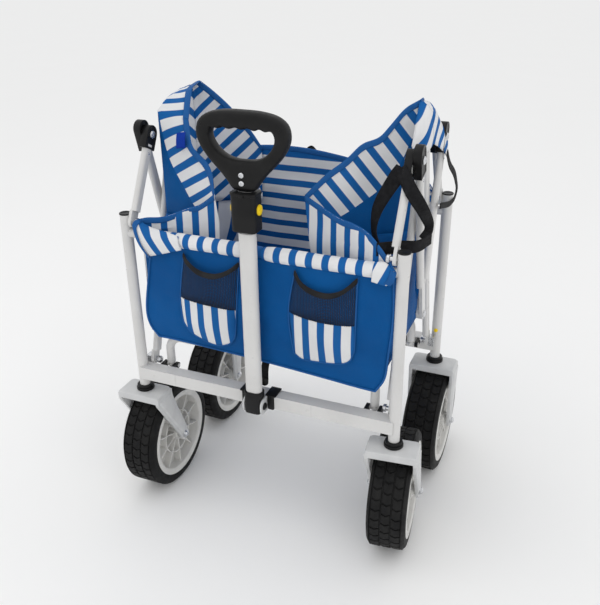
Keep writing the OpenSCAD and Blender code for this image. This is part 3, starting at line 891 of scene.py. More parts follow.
def cloth_piece(name, shape, finishes, outward, body=None, bend=None, thickness=0.0012, lining=0,
                stands_for=(), slot=None, sheet=None):
    """A piece of cloth with its outer side toward outward, that rides one body when one is given."""
    piece = finished_piece(name, shape, finishes[0], body, stands_for)
    for finish in finishes[1:]:
        piece.data.materials.append(finish)
    if sum((p.normal * p.area for p in piece.data.polygons), Vector()).dot(Vector(outward)) < 0:
        piece.data.flip_normals()
    if bend:
        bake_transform(piece)
    if thickness:
        body_of_cloth = piece.modifiers.new("thickness", "SOLIDIFY")
        body_of_cloth.thickness, body_of_cloth.offset = thickness, -1
        body_of_cloth.material_offset = lining
    return piece


def flap(shape, rows, along, stripes, slack=0.004):
    """A panel of the basket's upper edge. Each row is its hem, the foot of its band and its base."""
    cloth(shape, [row[:2] for row in rows], along, 8, stripes, 0, slack * 0.6)
    cloth(shape, [row[1:] for row in rows], along, 12, stripes, 1, slack)


RIGHT_GUSSET = [
    ((0.2409, -0.185, 0.5703), (0.2385, -0.181, 0.563), (0.236, -0.178, 0.556)),
    ((0.2171, -0.172, 0.5947), (0.2145, -0.17, 0.575), (0.212, -0.168, 0.556)),
    ((0.1885, -0.16, 0.6176), (0.187, -0.159, 0.587), (0.186, -0.158, 0.556)),
    ((0.1588, -0.15, 0.6267), (0.1583, -0.15, 0.591), (0.158, -0.149, 0.556)),
    ((0.1286, -0.14, 0.6311), (0.1295, -0.1405, 0.593), (0.13, -0.141, 0.556)),
    ((0.066, -0.12, 0.6535), (0.0735, -0.1235, 0.5945), (0.079, -0.125, 0.556))]
RIGHT_FACE = [
    RIGHT_GUSSET[-1],
    ((0.095, -0.101, 0.6854), (0.115, -0.087, 0.612), (0.11, -0.1025, 0.556)),
    ((0.12, -0.0757, 0.706), (0.145, -0.064, 0.633), (0.135, -0.0845, 0.556)),
    ((0.14, -0.0555, 0.7275), (0.168, -0.048, 0.652), (0.158, -0.068, 0.556)),
    ((0.165, -0.0448, 0.7385), (0.19, -0.034, 0.678), (0.18, -0.052, 0.556)),
    ((0.18, -0.0359, 0.7562), (0.202, -0.026, 0.704), (0.197, -0.04, 0.556)),
    ((0.2, -0.0236, 0.7825), (0.213, -0.02, 0.735), (0.211, -0.029, 0.556)),
    ((0.222, -0.0186, 0.797), (0.2225, -0.0186, 0.74), (0.2225, -0.0205, 0.556))]
LEFT_GUSSET = [
    ((-0.2252, -0.178, 0.5935), (-0.224, -0.176, 0.575), (-0.223, -0.173, 0.557)),
    ((-0.2132, -0.165, 0.5943), (-0.211, -0.166, 0.575), (-0.209, -0.167, 0.557)),
    ((-0.1848, -0.155, 0.5964), (-0.184, -0.156, 0.576), (-0.183, -0.158, 0.557)),
    ((-0.1464, -0.14, 0.6109), (-0.145, -0.143, 0.584), (-0.144, -0.145, 0.557)),
    ((-0.1259, -0.13, 0.6174), (-0.123, -0.134, 0.587), (-0.122, -0.138, 0.557)),
    ((-0.1, -0.125, 0.637), (-0.094, -0.1245, 0.588), (-0.093, -0.13, 0.557))]
LEFT_FACE = [
    LEFT_GUSSET[-1],
    ((-0.115, -0.101, 0.664), (-0.14, -0.113, 0.6), (-0.14, -0.116, 0.556)),
    ((-0.13, -0.092, 0.683), (-0.174, -0.101, 0.638), (-0.175, -0.104, 0.556)),
    ((-0.155, -0.093, 0.709), (-0.206, -0.091, 0.688), (-0.207, -0.094, 0.556)),
    ((-0.175, -0.0665, 0.7466), (-0.222, -0.087, 0.765), (-0.222, -0.088, 0.556))]
LEFT_PEAK = [
    LEFT_FACE[-1],
    ((-0.185, -0.038, 0.775), (-0.2215, -0.05, 0.78), (-0.222, -0.05, 0.556)),
    ((-0.195, -0.011, 0.7905), (-0.221, -0.01, 0.785), (-0.222, -0.01, 0.556)),
    ((-0.205, 0.0365, 0.7946), (-0.22, 0.032, 0.789), (-0.222, 0.035, 0.556))]
FRONT_BEND = {1: ("front_frame", "front_long", (0.15, -0.165, 0.58), (0.15, -0.03, 0.7)),
              -1: ("front_frame", "front_long", (-0.15, -0.165, 0.58), (-0.15, -0.05, 0.7))}

right_front = bmesh.new()
flap(right_front, RIGHT_GUSSET, 22, (-0.937, 0.349, 0))
flap(right_front, RIGHT_FACE, 34, (0.639, 0.46, 0.615))
cloth_piece("right_front_side_cloth", right_front, BASKET_CANVAS, (1, 0, 0), bend=FRONT_BEND[1], lining=2,
            stands_for=["side_panel_right"], slot="striped_fabric",
            sheet=((0.36, 0.125), "hung", ["front_long_bars", "front_top_rail"]))
left_front = bmesh.new()
flap(left_front, LEFT_GUSSET, 22, (-0.937, -0.349, 0))
flap(left_front, LEFT_FACE, 30, (-0.458, 0.515, 0.724))
flap(left_front, LEFT_PEAK, 18, (-0.458, 0.515, 0.724))
cloth_piece("left_front_side_cloth", left_front, BASKET_CANVAS, (-1, 0, 0), bend=FRONT_BEND[-1], lining=2,
            stands_for=["side_panel_left"], slot="striped_fabric",
            sheet=((0.43, 0.145), "hung", ["front_long_bars", "front_top_rail"]))


# ---- Basket sides, rear halves ----
# The same canvas tucks inward behind the peak. Its striped lining faces the basket's
# inside, and it is sewn to the back panel and sleeved over the rear side bars.

REAR_GUSSET = [
    ((0.124, 0.12, 0.66), (0.121, 0.111, 0.605), (0.118, 0.103, 0.557)),
    ((0.16, 0.129, 0.635), (0.157, 0.12, 0.595), (0.155, 0.112, 0.557)),
    ((0.2, 0.136, 0.614), (0.197, 0.125, 0.587), (0.195, 0.116, 0.557)),
    ((0.235, 0.14, 0.6), (0.231, 0.13, 0.58), (0.227, 0.121, 0.557))]


def rear_gusset(side):
    """The rows of the rear tuck on one side."""
    return [tuple((side * x, y, z) for x, y, z in row) for row in REAR_GUSSET]


LEFT_REAR = [
    LEFT_PEAK[-1],
    ((-0.19, 0.0636, 0.7691), (-0.205, 0.055, 0.712), (-0.204, 0.055, 0.557)),
    ((-0.17, 0.0871, 0.7381), (-0.183, 0.075, 0.682), (-0.176, 0.075, 0.557)),
    ((-0.14, 0.1048, 0.6944), (-0.152, 0.092, 0.64), (-0.145, 0.092, 0.557)),
    rear_gusset(-1)[0]]
RIGHT_REAR = [
    RIGHT_FACE[-1],
    ((0.221, 0.01, 0.795), (0.222, 0.012, 0.74), (0.222, 0.012, 0.556)),
    ((0.208, 0.045, 0.775), (0.212, 0.042, 0.718), (0.21, 0.042, 0.556)),
    ((0.18, 0.08, 0.74), (0.188, 0.07, 0.684), (0.182, 0.07, 0.556)),
    ((0.145, 0.103, 0.694), (0.154, 0.091, 0.64), (0.146, 0.091, 0.556)),
    REAR_GUSSET[0]]

REAR_ROWS = {1: RIGHT_REAR, -1: LEFT_REAR}
REAR_BEND = {side: ("rear_frame", "rear_long", (side * 0.15, 0.12, 0.6), (side * 0.15, 0.0, 0.72))
             for side in REAR_ROWS}

for side, word in SIDES:
    rear = bmesh.new()
    flap(rear, REAR_ROWS[side], 26, (side * 0.45, -0.45, 0.77))
    flap(rear, rear_gusset(side), 14, (1, 0, 0))
    cloth_piece(f"{word}_rear_side_cloth", rear, BASKET_CANVAS, (side, 0, 0), lining=2, slot="striped_fabric",
                bend=REAR_BEND[side],
                sheet=((0.27, 0.145), "hung", ["rear_long_bars", "rear_top_rail"]))


# ---- Peak flaps ----
# The striped hem goes on over each peak and hangs outside the long side bars as two short
# flaps, one sewn over the front bar and one over the rear bar.

RIGHT_OVER = [
    ((0.222, -0.054, 0.733), (0.225, -0.054, 0.724), (0.233, -0.055, 0.707)),
    ((0.222, -0.036, 0.77), (0.2365, -0.04, 0.761), (0.245, -0.042, 0.721)),
    ((0.222, -0.0186, 0.797), (0.2415, -0.016, 0.783), (0.248, -0.014, 0.729)),
    ((0.233, 0.011, 0.789), (0.246, 0.015, 0.768), (0.2505, 0.019, 0.716)),
    ((0.246, 0.037, 0.756), (0.253, 0.04, 0.735), (0.2545, 0.043, 0.702)),
    ((0.2557, 0.062, 0.72), (0.2565, 0.063, 0.706), (0.2565, 0.064, 0.688))]
LEFT_OVER = [
    ((-0.222, -0.087, 0.765), (-0.2228, -0.0865, 0.745), (-0.2232, -0.086, 0.715)),
    ((-0.2215, -0.05, 0.78), (-0.233, -0.05, 0.769), (-0.242, -0.05, 0.733)),
    ((-0.221, -0.01, 0.785), (-0.24, -0.01, 0.776), (-0.2475, -0.01, 0.733)),
    ((-0.22, 0.032, 0.789), (-0.238, 0.033, 0.776), (-0.245, 0.035, 0.735)),
    ((-0.21, 0.052, 0.776), (-0.219, 0.056, 0.764), (-0.223, 0.06, 0.73))]

for side, word, rows in ((1, "right", RIGHT_OVER), (-1, "left", LEFT_OVER)):
    for end, half in (("front", rows[:3]), ("rear", rows[2:])):
        over = bmesh.new()
        cloth(over, half, 16, 10, (side * 0.45, 0.6, -0.66 if side > 0 else 0.66), 0, 0.002)
        cloth_piece(f"{word}_{end}_peak_flap", over, (striped_outer,), (side, 0, 0), body=f"{end}_long",
                    slot="striped_fabric", sheet=((0.08, 0.055), "hung", [f"{end}_long_bars"]))


# ---- Folded binding ----
# A mid-blue tape is folded over every raw edge of the basket's rim and stitched through
# near its inner edge.

blue_tape = plain_canvas("mid_blue_tape", (0.012, 0.092, 0.29), (0.018, 0.115, 0.355), 0.55)


def folded_tape(shape, edge, inward, width=0.0095, half=0.0016):
    """Tape folded over an edge: edge is the points along it, inward the directions into the cloth there."""
    count = len(edge)
    section = [(width, -half), (width * 0.5, -half * 1.15), (0.0008, -half), (-0.0012, 0), (0.0008, half),
               (width * 0.5, half * 1.15), (width, half)]
    rows = []
    for i, (point, into) in enumerate(zip(edge, inward)):
        ahead_here = (edge[min(i + 1, count - 1)] - edge[max(i - 1, 0)]).normalized()
        lift = ahead_here.cross(into).normalized()
        rows.append([point + into * depth + lift * rise for depth, rise in section])
    cloth(shape, rows, (count - 1) * 2, 12, edge[-1] - edge[0])


def hem_of(rows, count):
    """The points along the top of rows, and the directions down into the cloth."""
    tops = run_of([row[0] for row in rows], count)
    feet = run_of([Vector(row[0]).lerp(Vector(row[1]), 0.25) for row in rows], count)
    return tops, [(foot - top).normalized() for top, foot in zip(tops, feet)]


def binding(name, tape, outward, flat, edge_of, **held_by):
    """A finished length of tape, folded over the edge of another piece; flat, its unfolded size, is not used.
    """
    return cloth_piece(name, tape, (blue_tape,), outward, thickness=0.0007, slot="blue_binding",
                       sheet=(flat, "folded", [edge_of]), **held_by)


FRONT_GROUPS = {1: (RIGHT_GUSSET, RIGHT_FACE), -1: (LEFT_GUSSET, LEFT_FACE, LEFT_PEAK)}
for side, word in SIDES:
    for end, groups, count, bend, length in (("front", FRONT_GROUPS[side], 25, FRONT_BEND[side], 0.4),
                                             ("rear", (REAR_ROWS[side], rear_gusset(side)), 21,
                                              REAR_BEND[side], 0.32)):
        tape = bmesh.new()
        for rows in groups:
            folded_tape(tape, *hem_of(rows, count))
        binding(f"{word}_{end}_binding", tape, (side, 0, 1), (length, 0.024), f"{word}_{end}_side_cloth",
                bend=bend)


# ---- Lower side walls ----
# Below the flaps each side hangs as one blue wall down to the floor. It is drawn inward
# at the same two tucks near its top and is straight at its foot.

WALL_X = 0.2235
WALL_FRONT = -0.1715
CLEAR = 0.003
CREASE_CLEAR = 0.0045
TUCK_FALL = ((0.58, 1.0), (0.552, 1.0), (0.51, 0.86), (0.465, 0.58), (0.42, 0.24), (0.375, 0.0))

for side, word in SIDES:
    wall = bmesh.new()
    gusset_rows, *face_rows = FRONT_GROUPS[side]
    middle_rows = face_rows[0] + [row for more in face_rows[1:] for row in more[1:]] + REAR_ROWS[side][1:]
    groups = ((gusset_rows, 16, CLEAR, CLEAR), (middle_rows, 44, -CLEAR, CLEAR),
              (rear_gusset(side), 12, -CLEAR, -CLEAR))
    for plan, along, before, after in groups:
        rows = []
        for row in plan:
            clear = 0 if row in (plan[0], plan[-1]) else before if row[2][1] < MID_Y - 0.01 else after
            if row is LEFT_GUSSET[-1]:
                clear = CREASE_CLEAR
            x, y = min(abs(row[2][0]), WALL_X), max(row[2][1], WALL_FRONT) + clear
            rows.append([(side * (WALL_X + (x + CREASE_CLEAR * (x < 0.215) - WALL_X) * share), y, z)
                         for z, share in TUCK_FALL])
        cloth(wall, rows, along, 22, (0, 1, 0), 1, 0.0025)
    cloth_piece(f"{word}_wall_cloth", wall, BASKET_CANVAS, (side, 0, 0), lining=1, slot="blue_fabric",
                bend=("front_frame", "rear_frame", (0, -0.168, 0.48), (0, 0.12, 0.48)),
                sheet=((0.46, 0.2), "hung", [f"{word}_front_side_cloth"]))


# ---- Basket floor ----
# A double layer of blue canvas over the two arches closes the basket's bottom. It sags a
# little between them and is piped where it meets the walls.

floor_cloth = bmesh.new()
cloth(floor_cloth, [[(x, y, 0.3745 + 0.004 * math.cos(9 * (y - MID_Y)) - 0.003 * math.cos(12 * x))
                     for y in (-0.17, -0.12, -0.07, MID_Y, 0.03, 0.08, 0.119)]
                    for x in (-0.223, -0.15, -0.07, 0, 0.07, 0.15, 0.223)], 30, 22, (0, 1, 0), 1, 0.003)
cloth_piece("basket_floor", floor_cloth, BASKET_CANVAS, (0, 0, -1), lining=0, stands_for=["floor_panel"],
            slot="blue_fabric",
            bend=("front_frame", "rear_frame", (0, -0.165, 0.37), (0, 0.115, 0.37)), thickness=0.0022,
            sheet=((0.446, 0.29), "laid", ["front_floor_arch", "rear_floor_arch"]))


# ---- Floor lift strap ----
# A short black strap with a moulded knob hangs from the middle of the floor, to pull it
# up when the cart is folded.

webbing = new_finish("black_webbing", 0.72, specular=0.15)
place = cloth_place(webbing)
rib = ripple(webbing, place["Y"], 0.0016)
drive(webbing, "Base Color",
      between(webbing, mottle(webbing, 120), (0.006, 0.006, 0.007), (0.014, 0.014, 0.016)))
drive(webbing, "Roughness", mottle(webbing, 300, 0.62, 0.82))
relief(webbing, (rib, 0.0003, 0.6), (noise(webbing, 700, 2), 0.0002, 0.4))


def webbing_piece(name, shape, outward, body, sheet, **more):
    return cloth_piece(name, shape, (webbing,), outward, body=body, thickness=0.0014,
                       slot="black_webbing", sheet=sheet, **more)


lift = bmesh.new()
cloth(lift, [[(x, -0.156, 0.37), (x, -0.162, 0.352), (x, -0.169, 0.336), (x, -0.17, 0.316)]
             for x in (-0.0015, 0.0055, 0.0125)], 8, 20, (0, 0, 1))
webbing_piece("floor_lift_strap", lift, (0, -1, 0), "front_frame", ((0.014, 0.057), "hung", ["basket_floor"]))
knob = bmesh.new()
KNOB_OUTLINE = [(0, -0.0095), (0.004, -0.009), (0.0062, -0.007), (0.0068, -0.003), (0.0056, 0.002),
                (0.0034, 0.0055), (0, 0.006)]
put(knob, turned(KNOB_OUTLINE, 28), moved(0.0055, -0.17, 0.315))
finished_piece("floor_lift_knob", knob, black_plastic, "front_frame")


# ---- Front panel ----
# The front of the basket is one blue canvas panel sewn under the rail sleeve. It bellies
# forward a little, and blue piping finishes its sides and its foot.

FRONT_ROWS = [
    ((-0.199, -0.1785, 0.56), (-0.212, -0.1805, 0.49), (-0.2245, -0.179, 0.425), (-0.222, -0.177, 0.39),
     (-0.206, -0.176, 0.367)),
    ((-0.175, -0.18, 0.56), (-0.18, -0.1835, 0.49), (-0.185, -0.1835, 0.425), (-0.183, -0.18, 0.39),
     (-0.172, -0.1765, 0.3675)),
    ((-0.1, -0.18, 0.56), (-0.1, -0.1845, 0.49), (-0.1, -0.185, 0.425), (-0.1, -0.181, 0.39),
     (-0.1, -0.1765, 0.365)),
    ((0.0, -0.1795, 0.56), (0.0, -0.183, 0.49), (0.0, -0.184, 0.425), (0.0, -0.1805, 0.39),
     (0.0, -0.1765, 0.36)),
    ((0.1, -0.18, 0.56), (0.1, -0.1845, 0.49), (0.1, -0.185, 0.422), (0.1, -0.181, 0.383),
     (0.1, -0.1765, 0.353)),
    ((0.19, -0.18, 0.56), (0.192, -0.1835, 0.49), (0.19, -0.184, 0.422), (0.186, -0.1805, 0.38),
     (0.182, -0.1765, 0.3465)),
    ((0.236, -0.1785, 0.56), (0.239, -0.18, 0.49), (0.234, -0.18, 0.42), (0.229, -0.178, 0.375),
     (0.2135, -0.1765, 0.345))]

front_cloth = bmesh.new()
cloth(front_cloth, FRONT_ROWS, 56, 26, (0, 0, 1), 1, 0.0045)
cloth_piece("front_cloth", front_cloth, BASKET_CANVAS, (0, -1, 0), body="front_frame", lining=2,
            stands_for=["front_panel"], slot="blue_fabric", sheet=((0.45, 0.21), "hung", ["front_top_rail"]))


def piped(shape, points, radius, steps=40):
    """Adds a round cord along a smooth run of points."""
    line = bpy.data.curves.new("piping", "CURVE")
    line.dimensions = "3D"
    line.bevel_depth, line.bevel_resolution = radius, 3
    spots = run_of(points, steps)
    run = line.splines.new("POLY")
    run.points.add(len(spots) - 1)
    for point, spot in zip(run.points, spots):
        point.co = (*spot, 1)
    holder = bpy.data.objects.new("piping", line)
    rounded = bpy.data.meshes.new_from_object(holder)
    shape.from_mesh(rounded)
    bpy.data.objects.remove(holder)
    bpy.data.curves.remove(line)
    bpy.data.meshes.remove(rounded)


piping = bmesh.new()
PIPING_RADIUS = 0.0019
piped(piping, FRONT_ROWS[0], PIPING_RADIUS)
piped(piping, FRONT_ROWS[-1], PIPING_RADIUS)
piped(piping, [row[-1] for row in FRONT_ROWS], PIPING_RADIUS, 60)
finished_piece("front_piping", piping, blue_tape, "front_frame")


# ---- Rail sleeves ----
# Padded striped sleeves wrap the two cross rails. The front one is gathered in two
# lengths either side of the handle tube, and the panels hang from them.

RAIL_Z = sum(corner.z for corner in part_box("front_top_rail")) / 2


def sleeve(shape, y, start, end, steps):
    rows = []
    for k in range(steps + 1):
        x = start + (end - start) * k / steps
        edge = min(k, steps - k)
        radius = (0.0092, 0.0118, 0.0128)[min(edge, 2)] + 0.0005 * wrinkle.noise(Vector((x * 60, y, 0)))
        rows.append([(x, y + radius * math.cos(a) * 1.02, RAIL_Z - 0.0012 + radius * math.sin(a))
                     for a in [math.radians(30 * n) for n in range(13)]])
    cloth(shape, rows, steps * 3, 24, (1, 0, 0), 0, 0.0012)


for end, y, lengths in (("front", FRONT_Y, ((-0.214, -0.012, 22), (0.012, 0.227, 22))),
                        ("rear", REAR_Y, ((-0.224, 0.224, 44),))):
    padding = bmesh.new()
    for length in lengths:
        sleeve(padding, y, *length)
    sleeve_piece = finished_piece(f"{end}_rail_sleeve", padding, striped_outer, f"{end}_frame")

gap = bmesh.new()
piped(gap, [(-0.013, FRONT_Y, RAIL_Z), (0, FRONT_Y, RAIL_Z), (0.013, FRONT_Y, RAIL_Z)], 0.0098, 8)
finished_piece("rail_sleeve_lining", gap, blue_tape, "front_frame")


# ---- Corner wraps ----
# At both front corners the striped hem turns down over the sleeve and the leg, and its
# bound edge is tacked below the rail.

LEFT_WRAP = [
    ((-0.2252, -0.176, 0.5945), (-0.2284, -0.188, 0.587), (-0.218, -0.1935, 0.56), (-0.2015, -0.1925, 0.534)),
    ((-0.2, -0.177, 0.584), (-0.197, -0.191, 0.572), (-0.19, -0.1935, 0.555), (-0.182, -0.192, 0.5395)),
    ((-0.165, -0.182, 0.581), (-0.163, -0.1905, 0.571), (-0.16, -0.1925, 0.556), (-0.157, -0.1915, 0.5475)),
    ((-0.14, -0.1855, 0.5775), (-0.138, -0.191, 0.57), (-0.1355, -0.192, 0.562), (-0.1328, -0.191, 0.5555))]
RIGHT_WRAP = [
    ((0.205, -0.18, 0.5815), (0.205, -0.19, 0.569), (0.2045, -0.192, 0.559), (0.204, -0.191, 0.552)),
    ((0.223, -0.18, 0.583), (0.2235, -0.1905, 0.57), (0.224, -0.1925, 0.557), (0.223, -0.1915, 0.549)),
    ((0.2409, -0.185, 0.5703), (0.2405, -0.19, 0.564), (0.238, -0.1915, 0.556), (0.233, -0.1905, 0.55))]
for word, rows, edge_row, next_row, lean, flat, edge_length in (
        ("left", LEFT_WRAP, LEFT_WRAP[0], LEFT_WRAP[1], 0.58, (0.095, 0.043), 0.058),
        ("right", RIGHT_WRAP, RIGHT_WRAP[-1], RIGHT_WRAP[-2], -0.4, (0.038, 0.035), 0.026)):
    wrap = bmesh.new()
    cloth(wrap, rows, 20, 12, (0.8, 0.1, lean), 0, 0.0016)
    cloth_piece(f"{word}_corner_wrap", wrap, (striped_outer,), (0, -1, 0.4), body="front_frame",
                slot="striped_fabric", sheet=(flat, "folded", ["front_rail_sleeve"]))
    into = (Vector(next_row[1]) - Vector(edge_row[1])).normalized()
    tape = bmesh.new()
    folded_tape(tape, run_of(edge_row, 11), [into] * 11)
    binding(f"{word}_wrap_binding", tape, (0, -1, 0), (edge_length, 0.022), f"{word}_corner_wrap",
            body="front_frame")


# ---- Back panel ----
# The back of the basket hangs inside the rear rail and stands up above it. Its lining has
# level stripes, and a bound edge and a webbing pull finish its top.

BACK_TOPS = [(-0.222, 0.612), (-0.205, 0.646), (-0.124, 0.66), (-0.046, 0.6625), (0.03, 0.655),
             (0.107, 0.6415), (0.2, 0.625), (0.222, 0.608)]
BACK_ROWS = [((x, 0.129, z), (x, 0.1235, 0.605), (x, 0.116, 0.567), (x, 0.1175, 0.46),
              (x, 0.1195, 0.362)) for x, z in BACK_TOPS]
back_cloth = bmesh.new()
cloth(back_cloth, BACK_ROWS, 50, 34, (0, 0, 1), 0, 0.0035)
BACK_CANVAS = (blue_canvas, striped_lining)
cloth_piece("back_cloth", back_cloth, BACK_CANVAS, (0, 1, 0), body="rear_frame", lining=1,
            stands_for=["rear_panel"], slot="striped_fabric",
            sheet=((0.444, 0.29), "hung", ["rear_top_rail"]))
tape = bmesh.new()
folded_tape(tape, *hem_of(BACK_ROWS, 45))
binding("back_binding", tape, (0, 0, 1), (0.46, 0.024), "back_cloth", body="rear_frame")


def ribbon(shape, first_edge, second_edge, along):
    """Webbing between two smooth runs of points."""
    ends = zip(run_of(first_edge, 13), run_of(second_edge, 13))
    cloth(shape, [[a, a.lerp(b, 0.5), b] for a, b in ends], along, 6, (0, 0, 1))


loop = bmesh.new()
ribbon(loop, [(-0.042, 0.1335, 0.632), (-0.04, 0.136, 0.652), (-0.024, 0.138, 0.6665), (-0.007, 0.136, 0.65),
              (-0.0045, 0.1335, 0.63)],
       [(-0.036, 0.137, 0.627), (-0.034, 0.15, 0.645), (-0.024, 0.156, 0.656), (-0.013, 0.15, 0.643),
        (-0.0105, 0.137, 0.626)], 24)
webbing_piece("back_pull_loop", loop, (0, 0, 1), "rear_frame", ((0.09, 0.02), "folded", ["back_cloth"]))


# ---- Front pockets ----
# Two pockets are sewn to the front panel. Each has an open black mesh upper part with an
# elastic edge that droops, over a striped canvas lower part.

mesh_net = new_finish("black_pocket_mesh", 0.6, specular=0.25)
place = cloth_place(mesh_net)
MESH_CELL = 0.0056
first = ripple(mesh_net, sums(mesh_net, "ADD", place["X"], place["Y"]), MESH_CELL)
second = ripple(mesh_net, sums(mesh_net, "SUBTRACT", place["X"], place["Y"]), MESH_CELL)
drive(mesh_net, "Alpha", spread(mesh_net, sums(mesh_net, "MULTIPLY", first, second), -0.1, 0.04, 1.0, 0.0))
drive(mesh_net, "Base Color",
      between(mesh_net, noise(mesh_net, 90), (0.006, 0.006, 0.007), (0.018, 0.018, 0.02)))
striped_pocket = striped_canvas("striped_pocket_canvas", (0.007, 0.115, 0.37), (0.76, 0.765, 0.775), 0.1,
                                0.46)
elastic = moulded("black_elastic_edge", (0.008, 0.008, 0.009), (0.02, 0.02, 0.022), 0.7, 500, 0.0005)

POCKETS = {
    "left": ([(-0.133, 0.548), (-0.1301, 0.544), (-0.1194, 0.5346), (-0.1008, 0.5245), (-0.0721, 0.5216),
              (-0.0468, 0.5311), (-0.0273, 0.5469)],
             [(-0.1457, 0.4636), (-0.0899, 0.4618), (-0.0358, 0.4561)],
             [(-0.1437, 0.4182), (-0.134, 0.401), (-0.1213, 0.3921), (-0.0817, 0.3797), (-0.052, 0.388),
              (-0.0403, 0.4082)]),
    "right": ([(0.0734, 0.5484), (0.0924, 0.5285), (0.1269, 0.5201), (0.1556, 0.5285), (0.1799, 0.5516)],
              [(0.0615, 0.4721), (0.1185, 0.4679), (0.1788, 0.4666)],
              [(0.0695, 0.4011), (0.078, 0.39), (0.0914, 0.3861), (0.1455, 0.39), (0.17, 0.4),
               (0.1781, 0.4238)])}

for word, (tops, seams, feet) in POCKETS.items():
    runs = [run_of([(x, 0, z) for x, z in line], 13) for line in (tops, seams, feet)]
    upper_rows, lower_rows = [], []
    for k, (top, seam, foot) in enumerate(zip(*runs)):
        swell = math.sin(math.pi * k / 12) ** 0.6
        top.y, seam.y, foot.y = -0.1845 - 0.01 * swell, -0.186 - 0.012 * swell, -0.1865 - 0.001 * swell
        upper_rows.append([top, top.lerp(seam, 0.5) - Vector((0, 0.002 * swell, 0)), seam])
        lower_rows.append([seam, seam.lerp(foot, 0.55) - Vector((0, 0.005 * swell, 0)), foot])
    upper = bmesh.new()
    cloth(upper, upper_rows, 30, 18, (1, 0, 0), 0, 0.004)
    cloth_piece(f"{word}_pocket_mesh", upper, (mesh_net,), (0, -1, 0), body="front_frame", thickness=0,
                slot="black_mesh", sheet=((0.115, 0.08), "gathered", ["front_cloth"]))
    lower = bmesh.new()
    cloth(lower, lower_rows, 30, 16, (1, 0, 0), 0, 0.003)
    stands_for = ["front_pockets"] if word == "left" else ()
    cloth_piece(f"{word}_pocket_cloth", lower, (striped_pocket,), (0, -1, 0), body="front_frame",
                slot="striped_fabric", sheet=((0.115, 0.075), "stretched", ["front_cloth"]),
                stands_for=stands_for)
    edges = bmesh.new()
    folded_tape(edges, *hem_of(upper_rows, 37), width=0.0085, half=0.0014)
    cloth_piece(f"{word}_pocket_elastic", edges, (elastic,), (0, -1, 0), body="front_frame", thickness=0.0006,
                slot="black_webbing", sheet=((0.12, 0.019), "gathered", [f"{word}_pocket_mesh"]))
    edges = bmesh.new()
    round_edge = [upper_rows[0][0], upper_rows[0][2], *[row[2] for row in lower_rows], upper_rows[-1][2],
                  upper_rows[-1][0]]
    piped(edges, round_edge, 0.0013, 70)
    finished_piece(f"{word}_pocket_edge", edges, blue_tape, "front_frame")


# ---- Webbing straps ----
# Black webbing loops hang over the folded side bars on the right, where they tie the
# folded cart together. A blank blue tag is sewn into the left hem.

strap = bmesh.new()
ribbon(strap, [(0.214, -0.112, 0.718), (0.2037, -0.115, 0.7021), (0.1845, -0.117, 0.663),
               (0.1787, -0.119, 0.6386), (0.1818, -0.126, 0.6074), (0.1973, -0.145, 0.583)],
       [(0.229, -0.116, 0.712), (0.2239, -0.12, 0.6897), (0.2134, -0.122, 0.6725), (0.1963, -0.125, 0.64),
        (0.193, -0.138, 0.615), (0.208, -0.158, 0.596)], 40)
ribbon(strap, [(0.23, -0.12, 0.722), (0.254, -0.14, 0.696), (0.27, -0.128, 0.664), (0.273, -0.09, 0.626),
               (0.272, -0.086, 0.606), (0.27, -0.115, 0.598)],
       [(0.216, -0.123, 0.708), (0.238, -0.142, 0.68), (0.256, -0.13, 0.648), (0.26, -0.098, 0.619),
        (0.26, -0.093, 0.612), (0.258, -0.118, 0.609)], 44)
ribbon(strap, [(0.275, -0.105, 0.612), (0.262, -0.14, 0.61), (0.236, -0.152, 0.61), (0.204, -0.169, 0.608)],
       [(0.275, -0.105, 0.593), (0.262, -0.14, 0.59), (0.236, -0.152, 0.589), (0.204, -0.169, 0.586)], 26)
webbing_piece("right_front_strap", strap, (1, 0, 0.2), "front_knee",
              ((0.41, 0.021), "hung", ["front_knee_bar_caps"]), stands_for=["closure_strap"])
strap = bmesh.new()
ribbon(strap, [(0.2618, 0.04, 0.708), (0.2618, 0.0696, 0.6802), (0.2618, 0.13, 0.644),
               (0.2618, 0.1638, 0.5966), (0.2618, 0.1062, 0.5881), (0.2618, 0.01, 0.6122)],
       [(0.2618, 0.034, 0.7), (0.2618, 0.064, 0.671), (0.2618, 0.121, 0.635), (0.2618, 0.15, 0.6),
        (0.2618, 0.1062, 0.5981), (0.2618, 0.012, 0.6222)], 44)
webbing_piece("right_rear_strap", strap, (1, 0, 0), "rear_knee",
              ((0.34, 0.01), "hung", ["rear_knee_bar_caps"]))

tag = bmesh.new()
cloth(tag, [[(-0.164, -0.096, 0.733), (-0.165, -0.0985, 0.72), (-0.1655, -0.099, 0.706)],
            [(-0.173, -0.0965, 0.732), (-0.174, -0.099, 0.719), (-0.1745, -0.0995, 0.705)],
            [(-0.182, -0.096, 0.73), (-0.183, -0.0985, 0.717), (-0.1835, -0.099, 0.703)]], 10, 12)
deep_tag = plain_canvas("royal_tag_satin", (0.002, 0.03, 0.3), (0.004, 0.045, 0.38), 0.45)
cloth_piece("blank_hem_tag", tag, (deep_tag,), (0, -1, 0), body="front_long", thickness=0.0008,
            slot="blue_binding",
            sheet=((0.02, 0.028), "hung", ["left_front_side_cloth"]))


# ---- Studio ----
# A plain pale floor that runs into the background, soft light from above and both sides,
# and a camera in front and to the right, a little above the handle.

def studio_finish():
    finish = new_finish("studio_paper", 1.0, specular=0.0)
    drive(finish, "Base Color",
          between(finish, noise(finish, 3, 1), (0.915, 0.915, 0.912), (0.925, 0.925, 0.922)))
    return finish


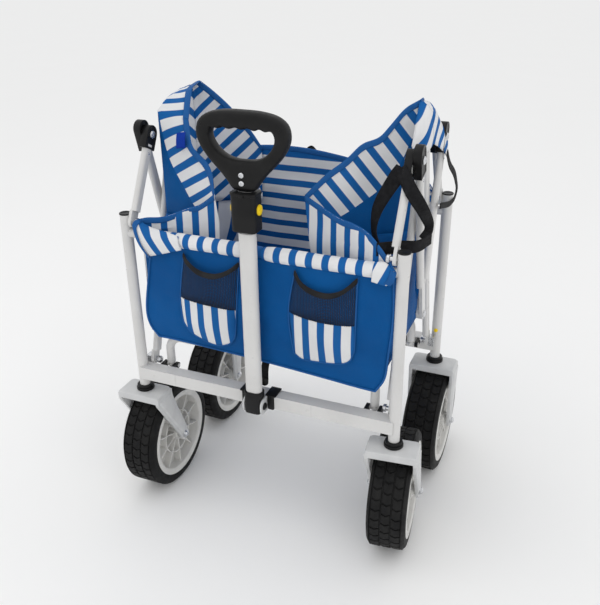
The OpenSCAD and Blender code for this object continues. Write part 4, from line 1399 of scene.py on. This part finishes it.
paper = bmesh.new()
bmesh.ops.create_grid(paper, x_segments=8, y_segments=8, size=70.0)
floor = finished_piece("studio_floor", paper, studio_finish(), None)

world = bpy.data.worlds.new("studio_light")
world.use_nodes = True
world.node_tree.nodes["Background"].inputs["Color"].default_value = (0.93, 0.932, 0.935, 1)
world.node_tree.nodes["Background"].inputs["Strength"].default_value = 0.98
bpy.context.scene.world = world


def soft_light(name, place, aim, size, power):
    lamp = bpy.data.lights.new(name, "AREA")
    lamp.shape = "SQUARE"
    lamp.size = size
    lamp.energy = power
    holder = bpy.data.objects.new(name, lamp)
    holder.location = place
    holder.rotation_euler = (Vector(aim) - Vector(place)).to_track_quat("-Z", "Y").to_euler()
    bpy.context.scene.collection.objects.link(holder)


soft_light("overhead_light", (-0.5, -0.7, 2.6), (0, 0, 0.3), 2.2, 7)
soft_light("right_light", (2.2, -1.4, 1.5), (0, 0, 0.4), 1.2, 4)
soft_light("left_light", (-2.2, -0.8, 1.2), (0, 0, 0.4), 1.2, 2)

CAMERA_PLACE = Vector((0.5003, -1.193, 1.0294))
CAMERA_YAW, CAMERA_PITCH, CAMERA_ROLL = 0.3933, 0.4576, -0.0103
ahead = Vector((-math.sin(CAMERA_YAW) * math.cos(CAMERA_PITCH), math.cos(CAMERA_YAW) * math.cos(CAMERA_PITCH),
                -math.sin(CAMERA_PITCH)))
level = Vector((math.cos(CAMERA_YAW), math.sin(CAMERA_YAW), 0))
upward = level.cross(ahead)
across = level * math.cos(CAMERA_ROLL) + upward * math.sin(CAMERA_ROLL)
upright = upward * math.cos(CAMERA_ROLL) - level * math.sin(CAMERA_ROLL)
lens = bpy.data.cameras.new("camera")
lens.sensor_width = 36
lens.lens = 44.03
camera = bpy.data.objects.new("camera", lens)
camera.matrix_world = Matrix.Translation(CAMERA_PLACE) @ Matrix((across, upright,
                                                                 -ahead)).transposed().to_4x4()
bpy.context.scene.collection.objects.link(camera)
bpy.context.scene.camera = camera
bpy.context.scene.view_settings.view_transform = "Standard"
